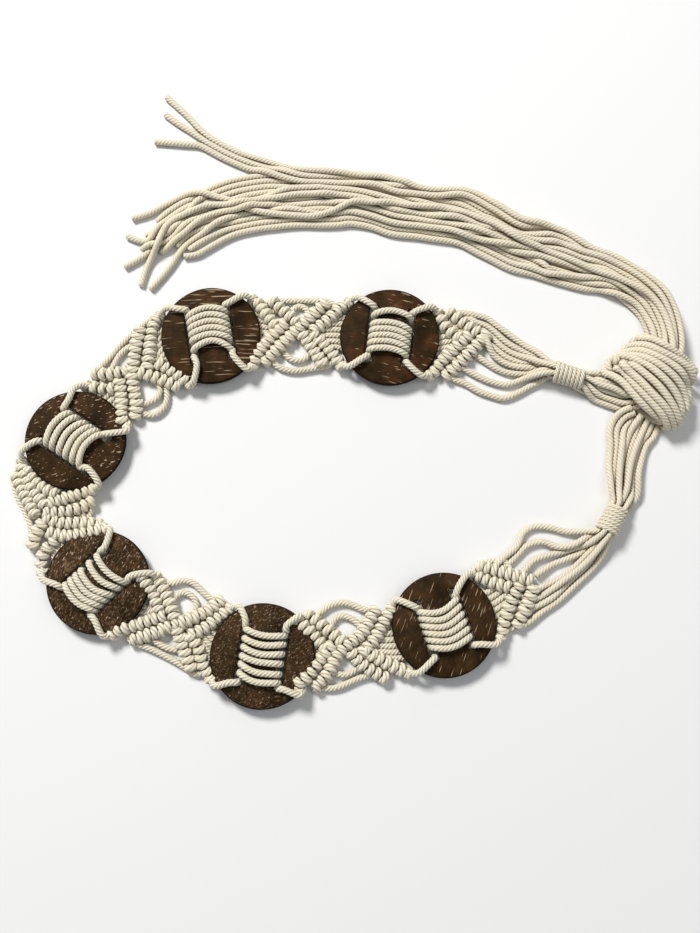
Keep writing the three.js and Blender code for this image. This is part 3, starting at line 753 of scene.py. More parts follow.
def bar_cord(i, n, row):
    before, on_bar, after = row
    spread = (n - 2.5) * 4.05
    short = 10.5 + abs(spread) * 0.5
    top = [on_disc(i, s, on_bar + ((before if s < 0 else after if s > 0 else on_bar) - on_bar) * f, z)
           for s, f, z in OVER_THE_BAR]
    start = [on_panel(i, short, spread * 0.9, 2.2), on_disc(i, -30, spread * 0.92, 2.2),
             on_disc(i, -16, before, 2.4), on_disc(i, -12.4, before, 3.8)]
    stop = [on_disc(i, 12.4, after, 3.8), on_disc(i, 16, after, 2.4),
            on_disc(i, 30, spread * 0.92, 2.2), on_panel(i + 1, -short, spread * 0.9, 2.2)]
    return even(through(start + top + stop), STEP)


for i, rows in enumerate(STRANDS):
    paths = measured([bar_cord(i, n, row) for n, row in enumerate(rows)])
    cords = [twisted_cord(p, LACING_RADIUS, phase=0.13 * n) for n, p in enumerate(paths)]
    stands_for(mesh_piece(f"bar_cords_{i + 1}", cords), f"lacing_{i + 1}")
print("cord over the bars:", round(sum(drawn) / 1000, 2), "m")

# %% [markdown]
# The two outer cords of the eight run over the rim of the disc from the panel's corner, dive into
# the end of a slot, pass under the bar and come up at the other side. At the panel each ends
# under the first hitch of the nearest row.

# %% Side cords
OVER_RIM, SLOT_END = 31.2, 16.0


def half_side_cord(i, side, dive, rim, direction):
    """From the slot beside the bar up over the rim and under the nearest row of hitches."""
    lean = np.array(dive) + (np.array(rim) - np.array(dive)) * 0.45
    over = np.array(rim) * (OVER_RIM / np.hypot(*rim))
    j = i + 1 if direction > 0 else i
    _, n, at = nearest_tip(j, on_disc(i, *over, 0)[:2])
    row = PANEL_ROWS[j][n] if at == 0 else PANEL_ROWS[j][n][::-1]
    tip, inner = np.array(row[0], float), np.array(row[1], float)
    inner = tip + (inner - tip) * min(1, 5 / np.hypot(*(inner - tip)))
    slot = (direction * SLOT_MIDDLE, side * min(abs(dive[1]) + 0.2, SLOT_END))
    return [on_disc(i, direction * 8.8, slot[1], 3.9), on_disc(i, *slot, 6.4),
            on_disc(i, slot[0] + direction * 0.4, dive[1] + side * 0.5, 10.6),
            on_disc(i, *lean, 12.2), on_disc(i, *over, 10.0), [*tip, 6.0], [*inner, 3.4]]


def side_cord(i, side):
    rim_b, dive_b, dive_a, rim_a = SIDE_CORDS[i][side]
    before = half_side_cord(i, side, dive_b, rim_b, -1)
    after = half_side_cord(i, side, dive_a, rim_a, 1)
    return even(through(before[::-1] + [on_disc(i, 0, side * 14.5, 3.4)] + after), STEP)


for i in range(len(DISCS)):
    for side, word in ((1, "inside"), (-1, "outside")):
        path, = measured([side_cord(i, side)])
        stands_for(mesh_piece(f"rim_cord_{i + 1}_{word}", [twisted_cord(path)]),
                   f"side_cord_{i + 1}_{word}")
print("with the rim cords:", round(sum(drawn) / 1000, 2), "m")

# %% [markdown]
# A knotted panel is rows of clove hitches. Each grain in a row is one turn of a cord round the
# row's core, drawn as a thick closed ring of twisted cord that stands askew on the row. The same
# turn repeats hundreds of times, so it is one small mesh of 72 faces.

# %% One hitch
RING = (0.6, 2.5, 2.0)                # half sizes of the ring's middle line, along, across and up
HITCH_CORD, HITCH_LAY, FLATTENED = 2.06, 14, 1.14


def hitch_object():
    turn = np.linspace(0, 2 * math.pi, 10)
    ring = np.stack([RING[0] * np.sin(turn), RING[1] * np.cos(turn), RING[2] * np.sin(turn)], 1)
    corners, faces, uvs = twisted_cord(ring, HITCH_CORD, closed=True, columns=8, lay=HITCH_LAY)
    corners[:, 0] *= FLATTENED
    half = len(faces) // 2                # two triangles that share a side make a quad
    faces = np.column_stack([faces[:half], faces[half:, 2]])
    uvs = np.column_stack([uvs[:half], uvs[half:, 4:]])
    return bpy.data.objects.new("hitch", uv_mesh("hitch", corners * 0.001, faces, uvs))


# %% [markdown]
# Geometry Nodes set the hitch along each row at an even pitch, turned to follow the row, with a
# little seeded disorder in its turn and size. The tree ends in Realize Instances and Set Material,
# and the result is baked into a plain mesh.

# %% Rows of hitches
INPUTS = (("Rows", "Geometry"), ("Hitch", "Object"), ("Pitch", "Float"), ("Lean", "Float"),
          ("Disorder", "Float"), ("Seed", "Int"), ("Cotton", "Material"))


def rows_tree():
    tree = bpy.data.node_groups.new("rows_of_hitches", "GeometryNodeTree")
    for name, kind in INPUTS:
        tree.interface.new_socket(name, in_out="INPUT", socket_type="NodeSocket" + kind)
    tree.interface.new_socket("Panel", in_out="OUTPUT", socket_type="NodeSocketGeometry")
    given = add(tree, "NodeGroupInput").outputs
    line = add(tree, "GeometryNodeMeshToCurve", {"Mesh": given["Rows"]}).outputs[0]
    spaced = add(tree, "GeometryNodeResampleCurve", {
        "Curve": line, "Length": given["Pitch"]}, mode="LENGTH").outputs[0]
    ahead = add(tree, "GeometryNodeInputTangent").outputs[0]
    turned = add(tree, "FunctionNodeAlignRotationToVector", {"Vector": ahead}, axis="X").outputs[0]
    level = add(tree, "FunctionNodeAlignRotationToVector", {
        "Rotation": turned, "Vector": (0, 0, 1)}, axis="Z", pivot_axis="X").outputs[0]
    most = given["Disorder"]
    least = maths(tree, "MULTIPLY", most, -1.0)
    lowest = add(tree, "ShaderNodeCombineXYZ", {0: least, 1: least, 2: least}).outputs[0]
    highest = add(tree, "ShaderNodeCombineXYZ", {0: most, 1: most, 2: most}).outputs[0]
    drift = add(tree, "FunctionNodeRandomValue", {
        0: lowest, 1: highest, "Seed": given["Seed"]}, data_type="FLOAT_VECTOR").outputs[0]
    leaning = add(tree, "ShaderNodeCombineXYZ", {2: given["Lean"]}).outputs[0]
    total = add(tree, "ShaderNodeVectorMath", {0: drift, 1: leaning}, operation="ADD").outputs[0]
    nudge = add(tree, "FunctionNodeEulerToRotation", {"Euler": total}).outputs[0]
    final = add(tree, "FunctionNodeRotateRotation", {
        "Rotation": level, "Rotate By": nudge}, rotation_space="LOCAL").outputs[0]
    size = add(tree, "FunctionNodeRandomValue", {
        2: 0.93, 3: 1.06, "Seed": given["Seed"]}, data_type="FLOAT").outputs[1]
    pattern = add(tree, "GeometryNodeObjectInfo", {"Object": given["Hitch"]}).outputs["Geometry"]
    placed = add(tree, "GeometryNodeInstanceOnPoints", {
        "Points": spaced, "Instance": pattern, "Rotation": final, "Scale": size}).outputs[0]
    real = add(tree, "GeometryNodeRealizeInstances", {0: placed}).outputs[0]
    painted = add(tree, "GeometryNodeSetMaterial", {
        "Geometry": real, "Material": given["Cotton"]}).outputs[0]
    add(tree, "NodeGroupOutput", {0: painted})
    return tree


HITCH, ROWS_TREE = hitch_object(), rows_tree()
HITCH_PITCH, HITCH_LEAN, HITCH_DISORDER = 0.0041, -0.16, 0.12


def hitches(name, rows, seed):
    """All rows of a panel as one plain mesh in a new object."""
    corners, edges = [], []
    for row in rows:
        edges += [(len(corners) + k, len(corners) + k + 1) for k in range(len(row) - 1)]
        corners += [tuple(p) for p in metres(row)]
    lines = bpy.data.meshes.new(name + "_rows")
    lines.from_pydata(corners, edges, [])
    source = new_object(name + "_rows", lines)
    nodes = source.modifiers.new("rows", "NODES")
    nodes.node_group = ROWS_TREE
    keys = {item.name: item.identifier for item in ROWS_TREE.interface.items_tree
            if item.in_out == "INPUT"}
    for key, value in (("Hitch", HITCH), ("Pitch", HITCH_PITCH), ("Lean", HITCH_LEAN),
                       ("Disorder", HITCH_DISORDER), ("Seed", seed), ("Cotton", COTTON)):
        nodes[keys[key]] = value
    evaluated = source.evaluated_get(bpy.context.evaluated_depsgraph_get())
    mesh = bpy.data.meshes.new_from_object(evaluated)
    bpy.data.objects.remove(source)
    mesh.name = name
    return new_object(name, mesh)


# %% [markdown]
# Where a row ends beside a disc, it rides up a little on the rim, as the real hitches do. The
# working cords of the hitches run on from each row to the next, and show in the gaps, so short
# cords join neighbouring rows below the level of the hitches. A loop's ends are carried on until
# they are under a row.

# %% Panel rows and loops
HITCH_Z, WORKING_Z, LOOP_Z, LOOP_END_Z = 4.05, 2.1, 2.2, 2.6
LOOP_RADIUS, WORKING_RADIUS = 1.95, 1.9
RIM_REACH, RIM_SLOPE = 33.8, 0.55     # where a row starts to ride up on a disc, and how steeply


def on_rims(x, y, z):
    """The height, raised where a hitch would otherwise cut into a disc's rim."""
    near = min(math.hypot(x - cx, y - cy) for cx, cy, _ in DISCS)
    return z + max(0.0, RIM_REACH - near) * RIM_SLOPE


def row_line(places):
    line = even(through([(x, y, HITCH_Z) for x, y in places]), 0.7)
    line[:, 2] = [on_rims(*p) for p in line]
    return line


def working_cords(rows):
    """Short cords between neighbouring parallel rows, below the hitches."""
    marks = []
    for n, row in enumerate(rows):
        line = even(row, 4.1)
        marks += [(n, p, a) for p, a in zip(line, directions(line))]
    cords = []
    for n, p, a in marks:
        best = None
        for m, q, b in marks:
            if m <= n:
                continue
            across = q - p
            gap = np.linalg.norm(across)
            if 5.8 < gap < 9.6 and abs(across @ a) < 0.4 * gap and abs(across @ b) < 0.4 * gap:
                if best is None or gap < best[0]:
                    best = (gap, q)
        if best:
            q = best[1]
            line = np.linspace(p, q, 7)
            line[:, 2] = WORKING_Z + (p[2] + q[2]) / 2 - HITCH_Z
            cords.append(line)
    return cords


def tucked(places, rows):
    """A loop's places, each end carried on until it is under a row of hitches."""
    places, every = [np.array(p, float) for p in places], np.vstack(rows)[:, :2]
    for tip, before, at in ((places[0], places[1], 0), (places[-1], places[-2], len(places) + 1)):
        away = every - tip
        distance = np.hypot(*away.T)
        ahead = (tip - before) / np.hypot(*(tip - before))
        good = (away @ ahead > 0.45 * distance) & (distance > 1.2) & (distance < 12)
        if good.any():
            places.insert(at, tip + away[np.argmin(np.where(good, distance, 99))] * 1.15)
    return places


def loop_line(places, rows):
    places = tucked(places, rows)
    heights = [LOOP_END_Z] + [LOOP_Z] * (len(places) - 2) + [LOOP_END_Z]
    return even(through([(x, y, z) for (x, y), z in zip(places, heights)]), STEP)


def join_into(piece, other):
    with bpy.context.temp_override(active_object=piece, selected_editable_objects=[piece, other]):
        bpy.ops.object.join()


hitch_count = 0
for j, tables in enumerate(PANEL_ROWS):
    end = {0: "end_a", len(PANELS) - 1: "end_b"}.get(j)
    name = f"panel_{end or j}"
    rows = [row_line(places) for places in tables]
    piece = hitches(name, rows, seed=11 + j)
    hitch_count += len(piece.data.polygons) // len(HITCH.data.polygons)
    loops = measured([loop_line(places, rows) for places in PANEL_LOOPS[j]])
    parts = [twisted_cord(p, LOOP_RADIUS) for p in loops]
    parts += [twisted_cord(p, WORKING_RADIUS, phase=0.1 * n)
              for n, p in enumerate(working_cords(rows))]
    join_into(piece, mesh_piece(name + "_loops", parts))
    stands_for(piece, f"end_panel_{end[-1]}" if end else f"knotted_panel_{j}")
    print(name, len(piece.data.polygons), "faces")
print("hitches:", hitch_count)

# %% [markdown]
# Loose cords lie on each other, so their heights can't all be chosen by hand. This helper lets
# them sink and pushes apart those that come closer than one diameter, mostly upwards, for a fixed
# number of rounds. Moves are smoothed along each cord, so a cord climbs over another in a long
# low hump, as limp cotton does.

# %% Settling loose cords
REST_ROUNDS, NEIGHBOURS = 12, 8       # last rounds without sinking; steps that one cord ignores


def settle(routes, rounds, sink, sideways, gap=CORD * 0.96):
    """Even routes in mm, moved apart."""
    routes = [np.array(r, float) for r in routes]
    owner = np.concatenate([np.full(len(r), n) for n, r in enumerate(routes)])
    place = np.concatenate([np.arange(len(r)) for r in routes])
    first = np.cumsum([0] + [len(r) for r in routes])
    points = np.vstack(routes)
    for turn in range(rounds):
        points[:, 2] -= sink if turn < rounds - REST_ROUNDS else 0
        tree = kdtree.KDTree(len(points))
        for k, p in enumerate(points):
            tree.insert(p, k)
        tree.balance()
        push = np.zeros_like(points)
        hits = np.zeros(len(points))
        for k, p in enumerate(points):
            for q, other, distance in tree.find_range(p, gap):
                near_self = owner[other] == owner[k] and abs(place[other] - place[k]) < NEIGHBOURS
                if other <= k or near_self:
                    continue
                away = p - np.array(q)
                if abs(away[2]) < 0.3:
                    away[2] = 0.3 if owner[k] < owner[other] else -0.3
                away[:2] *= sideways
                away *= (gap - distance) / 2 / np.linalg.norm(away)
                push[k] += away
                push[other] -= away
                hits[k] += 1
                hits[other] += 1
        points += push / np.maximum(hits, 1)[:, None] ** 0.5
        for n, start in enumerate(routes):
            moved = points[first[n]:first[n + 1]] - start
            smooth = moved.copy()
            smooth[1:-1] = 0.5 * moved[1:-1] + 0.25 * (moved[:-2] + moved[2:])
            points[first[n]:first[n + 1]] = start + smooth
        points[points[:, 2] < CORD / 2, 2] = CORD / 2
    return [points[first[n]:first[n + 1]] for n in range(len(routes))]


# %% [markdown]
# Both ends are gathered: eight cords leave the end panel in a fan, are bound by seven turns of
# cord, and spread again on their way into the knot. Inside the binding the cords are squeezed to
# two thirds of their thickness, so each cord's radius tapers there. A fan's table gives x, y and
# height along each cord, from under the end panel to the binding.

# %% Fans and bindings
# each binding's two ends on the table and its radius at each
WRAPS = {"a": ((121.6, 57.2), (141, 51), 5.5, 4.8), "b": ((148.6, -40.6), (158.4, -24.4), 5.8, 4.9)}
WRAP_Z, WRAP_TURNS, WRAP_CORD = 6.8, 7, 1.42
SQUEEZE = ([0, 4, 16], [1.34, 1.4, 2.0])   # distance from a cord's bound end, and its radius
FANS = {
    "a": [
        [(61, 94, 4.4), (68.3, 94.5, 4), (78.4, 92.8, 3.4), (84, 91, 3), (87.4, 88.2, 3),
         (93.4, 83.7, 3), (99.7, 78.7, 2.8), (106.1, 73.4, 2.8), (112, 69.2, 3.6)],
        [(66, 89, 4), (71.9, 90.1, 3.8), (76.1, 88.8, 3.4), (82.7, 86.3, 3), (88.1, 81.8, 2.8),
         (92.8, 77.1, 2.6), (98.8, 72.7, 2.6), (105.3, 68.9, 2.6), (112.5, 65.8, 3.6)],
        [(74, 83, 4), (79, 83.7, 3.6), (82.6, 82.5, 3.2), (87.4, 78.4, 2.6), (91.5, 73.6, 2.4),
         (96.3, 70.2, 2.2), (102.3, 67.4, 2.2), (108.8, 64.6, 2.8)],
        [(79, 80, 4), (82.5, 76.8, 3.6), (84.4, 73.4, 3), (86.9, 69.3, 2.4), (92.9, 64.9, 2.2),
         (99.3, 62.2, 2.2), (105.7, 60.9, 2.4), (112.3, 60.2, 3)],
        [(68, 74, 4), (72.1, 71.1, 3.4), (75.7, 68.4, 2.6), (82, 64, 2.2), (88.4, 59.9, 2.2),
         (94.7, 57.4, 2.2), (101.3, 56.8, 2.2), (108.6, 57.7, 2.8)],
        [(61, 66, 4), (65.9, 62.4, 3.4), (69.4, 59.5, 2.6), (74.6, 56.4, 2.2), (81.8, 52.8, 2.2),
         (88.2, 50.6, 2.2), (94.5, 49.7, 2.2), (101.2, 52, 2.4), (108.5, 54.9, 3.4)],
        [(55.5, 58.5, 4), (59.1, 55.5, 3.4), (62.4, 53.3, 2.6), (69.3, 50.6, 2.2),
         (77.3, 45.8, 2.2), (85.9, 42.7, 2.2), (92.3, 41.3, 2.2), (100.9, 44.4, 2.2),
         (107.9, 48.4, 2.6), (114.5, 51.8, 3.6)],
        [(77, 79, 3), (86, 74, 2.4), (95, 66.5, 2.2), (104, 63, 2.2), (112, 61.8, 3)],
    ],
    "b": [
        [(84, -60, 4), (90.4, -54.3, 3.6), (97.8, -48.7, 3), (101.9, -40.2, 2.4),
         (107.7, -36.6, 2.2), (117.8, -36.9, 2.2), (125.5, -39.1, 2.2), (132.8, -39.7, 3.6)],
        [(88.5, -62, 2.6), (95.6, -55, 2.6), (103.6, -47.4, 3), (113, -45.4, 3),
         (121.8, -48.7, 3.4), (129.7, -48.1, 5), (138.2, -44.2, 6)],
        [(97, -68, 4), (101.2, -62.6, 3.6), (107.1, -56.5, 3), (115.5, -53.1, 2.4),
         (124, -50.9, 2.4), (132.4, -48.7, 3)],
        [(108, -65, 4), (113.5, -61.5, 3.2), (118.1, -58.7, 2.4), (126.6, -55.4, 2.4),
         (135.1, -51.5, 3.4)],
        [(106, -75, 4), (112.1, -71.5, 3.2), (120.6, -68.2, 2.4), (129.1, -62.6, 2.4),
         (137.8, -53.1, 4)],
        [(104, -80, 4), (110.9, -77, 3.2), (123.3, -68.2, 4.4), (134.8, -59.8, 4.4),
         (143.6, -49.8, 6.4)],
        [(99, -87, 4), (105.6, -84.1, 3.2), (117.4, -79.2, 2.4), (128.9, -68.2, 2.4),
         (140.4, -58.2, 2.8)],
        [(97, -94.4, 4), (103.2, -91.8, 3.2), (113.4, -83.6, 2.4), (124.2, -75.3, 2.4),
         (134.6, -65.4, 2.4), (146.2, -53.1, 4)],
    ],
}
# seven bound cords round an eighth, from one side of the binding to the other
BOUND_RING, BOUND_TURN = 2.75, 0.3
PACKED = sorted([(BOUND_RING * math.cos(a), BOUND_RING * math.sin(a))
                 for a in np.arange(7) * 2 * math.pi / 7 + BOUND_TURN] + [(0.0, 0.0)],
                key=lambda place: -place[0])


def in_binding(end, k, d):
    """Where cord k is, d mm along the binding's axis, and z above the floor."""
    (x0, y0), (x1, y1) = WRAPS[end][:2]
    a = np.array([x1 - x0, y1 - y0])
    a /= np.linalg.norm(a)
    across, up = PACKED[k]
    x, y = np.array([x0, y0]) + a * d + np.array([-a[1], a[0]]) * across
    return (x, y, WRAP_Z + up)


def tapered(path, at_start):
    """The radius along a cord that is squeezed at its start or at its end."""
    run = np.linspace(0, length_of(path), len(path))
    return np.minimum(CORD / 2, np.interp(run if at_start else run[-1] - run, *SQUEEZE))


def binding(end):
    (x0, y0), (x1, y1), r0, r1 = WRAPS[end]
    axis = np.array([x1 - x0, y1 - y0, 0.0])
    ahead = axis / np.linalg.norm(axis)
    side = np.array([-ahead[1], ahead[0], 0])
    f = np.linspace(0, 1, WRAP_TURNS * 24 + 1)
    a = 2 * math.pi * f * WRAP_TURNS
    r = (r0 + (r1 - r0) * f)[:, None]
    run = 1.4 + f * (np.linalg.norm(axis) - 2.8)
    helix = (np.array([x0, y0, WRAP_Z + 0.1]) + ahead * run[:, None]
             + r * (np.cos(a)[:, None] * side + np.sin(a)[:, None] * np.array([0, 0, 1])))
    tuck_in = helix[0] + ahead * 3 - side * 2.6
    tuck_out = helix[-1] - ahead * 3 - side * 2.6
    return even(np.vstack([tuck_in, helix, tuck_out]), 1.1)


for end in ("a", "b"):
    routes = [even(through(fan + [in_binding(end, k, -0.5), in_binding(end, k, 6)]), 2.0)
              for k, fan in enumerate(FANS[end])]
    calm = settle(routes, rounds=24, sink=0.05, sideways=0.25)
    paths = measured([even(through(c, fine=3), STEP) for c in calm])
    cords = [twisted_cord(c, tapered(c, False), phase=0.1 * k) for k, c in enumerate(paths)]
    stands_for(mesh_piece(f"fan_{end}", cords, SLACK_COTTON), f"cord_fan_{end}")
    wrap = mesh_piece(f"binding_{end}", [twisted_cord(binding(end), WRAP_CORD)])
    stands_for(wrap, f"end_wrap_{end}")

# %% [markdown]
# The overhand knot. Its surface cords follow a domed outline seen from above: a lone cord crosses
# from the neck of end A to the lower right, four parallel cords sweep beside it from the upper
# left, and four more bend over the start of the tail. Each is closed underneath, since the bundle
# really goes round. The heights come from the dome, except on the lone cord, which has its own.

# %% Knot routes
KNOT_OUTLINE = [
    (176.5, 78.5), (186, 77), (196.5, 67.5), (206.6, 54.5), (202, 44), (201.6, 35), (199, 25.5),
    (192, 20.8), (182.4, 19), (174, 25.6), (164, 36.4), (158.2, 51), (157, 62), (166, 69.4)
]
KNOT_MIDDLE = np.array([181.0, 48.0])
KNOT_CORD, UNDER_SHARE, UNDER_Z = 2.3, 0.93, 2.6
# height above the dome, and places from the upper left to the lower right
TOP_CORDS = [
    (0, [(153, 56, 7), (155.1, 54.1, 10), (160.9, 48.5, 14), (166, 41.7, 15.5), (171.2, 35.6, 15.5),
     (177.4, 30.5, 13.5), (185, 26, 9)]),
    (0.4, [(161.4, 57.6), (163.4, 53.4), (166.9, 47), (171.5, 41), (177.4, 34.5), (183, 28.5),
     (188.4, 22.6)]),
    (0.6, [(162.4, 59), (165.7, 52.8), (170.3, 47.2), (176.4, 39.9), (182.6, 33.3), (187.7, 27.7),
     (191.7, 23)]),
    (0.8, [(162.8, 60.1), (168, 56.1), (173.2, 51.1), (179.9, 44.4), (185.9, 36.7), (190.6, 30),
     (193.9, 24.5)]),
    (1, [(161.5, 61.8), (167.4, 60.7), (173.8, 57.5), (181.5, 50.3), (188.6, 42.5), (193, 34.7),
     (194.5, 28.1)]),
    (1.6, [(156.5, 58.1), (157.4, 62), (161.6, 64), (168.1, 64), (175.6, 60.7), (184.4, 54.2),
     (192.1, 46.9), (197, 38.6), (197.7, 30.9)]),
    (2, [(163.4, 67.1), (170.4, 66.5), (177.9, 63.1), (187.3, 58.1), (194.6, 52), (199.8, 44.7),
     (200.3, 36.4)]),
    (3, [(167.1, 71.1), (174.7, 69.6), (182.6, 65.1), (191.1, 61), (198.4, 56.7), (203.7, 50.6)]),
    (4, [(171.7, 75.6), (178.8, 74), (185.6, 69.5), (194.1, 64.9), (201, 61.5), (206.1, 56.1)]),
]


def dome(x, y, high=20.5, low=4.2):
    ring = np.array(KNOT_OUTLINE) - KNOT_MIDDLE
    angles = np.unwrap(np.arctan2(ring[:, 1], ring[:, 0]))
    reach = np.hypot(ring[:, 0], ring[:, 1]) - 1.2
    order = np.argsort(np.mod(angles, 2 * math.pi))
    out = np.array([x, y]) - KNOT_MIDDLE
    here = math.atan2(out[1], out[0]) % (2 * math.pi)
    limit = np.interp(here, np.mod(angles, 2 * math.pi)[order], reach[order], period=2 * math.pi)
    share = min(1.0, np.hypot(*out) / limit)
    return low + (high - low) * math.sqrt(1 - share**2.2)


def knot_loop(lift, places):
    top = [p if len(p) == 3 else (*p, dome(*p) + lift) for p in places]
    cx, cy = KNOT_MIDDLE
    under = [(cx + (x - cx) * UNDER_SHARE, cy + (y - cy) * UNDER_SHARE, UNDER_Z)
             for x, y, _ in top[::-1]]
    return even(through(top + under, closed=True), 2.0)


# %% [markdown]
# The necks are the eight cords between each binding and the knot. Those of end A stay together
# and go straight in. Those of end B spread as they come up the table and pass under the knot's
# lower edge. The last cord of each is hidden by the others.

# %% Neck routes
NECK_A = [
    [(149.3, 52.7, 8.5), (155.5, 52.2, 9.5), (162, 48.5, 9)],
    [(149.1, 50.4, 11), (156, 48.8, 12), (164, 44.8, 10)],
    [(149, 48, 10.5), (156.3, 45.8, 12), (165, 42.2, 10)],
    [(148.8, 45.6, 9.5), (156.4, 43, 10), (165.6, 39.9, 8)],
    [(148.7, 44, 6), (156, 40.6, 6.4), (165, 38, 7)],
    [(148.9, 43.6, 3.4), (156.8, 39.4, 3), (165.2, 36.6, 5)],
    [(149, 50, 3.6), (157, 48, 3), (166, 44, 4)],
    [(149, 47, 3.4), (157, 43.8, 2.6), (166, 40.4, 3.4)],
]
NECK_B_TOPS = [
    [(155.8, 20, 5), (157.7, 27.2, 8), (161.8, 32.5, 10), (168, 36, 9)],
    [(160.1, 22.6, 6), (164.2, 29.2, 9), (170, 33, 9)],
    [(165.2, 23.3, 6.4), (170.1, 31.2, 9)],
    [(169.7, 22, 6.4), (173.9, 29.9, 9)],
    [(173.6, 21.6, 6), (178, 28.5, 8)],
    [(177, 18.7, 5), (181.5, 27.2, 7)],
    [(180.4, 17.6, 4), (184, 25.9, 6)],
    [(170, 20, 2.4), (176, 30, 3)],
]


def neck_routes(end):
    length = np.hypot(*(np.array(WRAPS[end][1]) - np.array(WRAPS[end][0])))
    routes = []
    for k in range(8):
        start = [in_binding(end, k, length - 6), in_binding(end, k, length + 0.5)]
        if end == "a":
            rest = NECK_A[k] + [(176, 44 - k * 0.8, 8 + (k % 3))]
        else:
            f = (k if k < 7 else 3.4) / 7
            height = 2.3 if k % 2 or k == 7 else 5.6
            rest = [(155.6 + 12.4 * f, -15.5, height + 1), (155.8 + 16.5 * f, 0, height),
                    (156.4 + 22.5 * f, 13, height)] + NECK_B_TOPS[k]
        routes.append(even(through(start + rest), 2.0))
    return routes


# %% [markdown]
# The tail is sixteen loose cords, eight from each end, out of the top of the knot. Its middle line
# is given at stations along it, with the reach of its two edges, which was worked out from edge
# lines picked in the photograph. Lanes give each cord's place
# across the bundle at nine stations, 1 on the outer edge and -1 on the inner one, so that cords
# wander and cross, and the last part of each cord goes its own way down to its cut tip.

# %% Tail routes
# station, x, y, how far the outer and the inner cord lie from the line
TAIL_LINE = np.array([
    (0, 190, 66, 6, 6),
    (1, 190.8, 84, 6.6, 6.6),
    (2, 182.4, 103, 7.4, 6.6),
    (3, 161, 118.5, 7.8, 8.6),
    (3.5, 144.5, 125.2, 9.4, 12.2),
    (4, 128, 132, 13.9, 15.3),
    (4.5, 115, 136.2, 14.1, 15),
    (5, 102, 140.5, 12.2, 15.9),
    (5.5, 84, 147.2, 16.3, 12.3),
    (6, 66, 153.8, 20.3, 10.6),
    (6.5, 47.5, 157.7, 16, 12.9),
    (7, 29, 161.5, 16.5, 15.6),
    (7.5, 15.5, 164.5, 18.5, 14),
    (8, 2, 167.5, 16.2, 15.1),
])
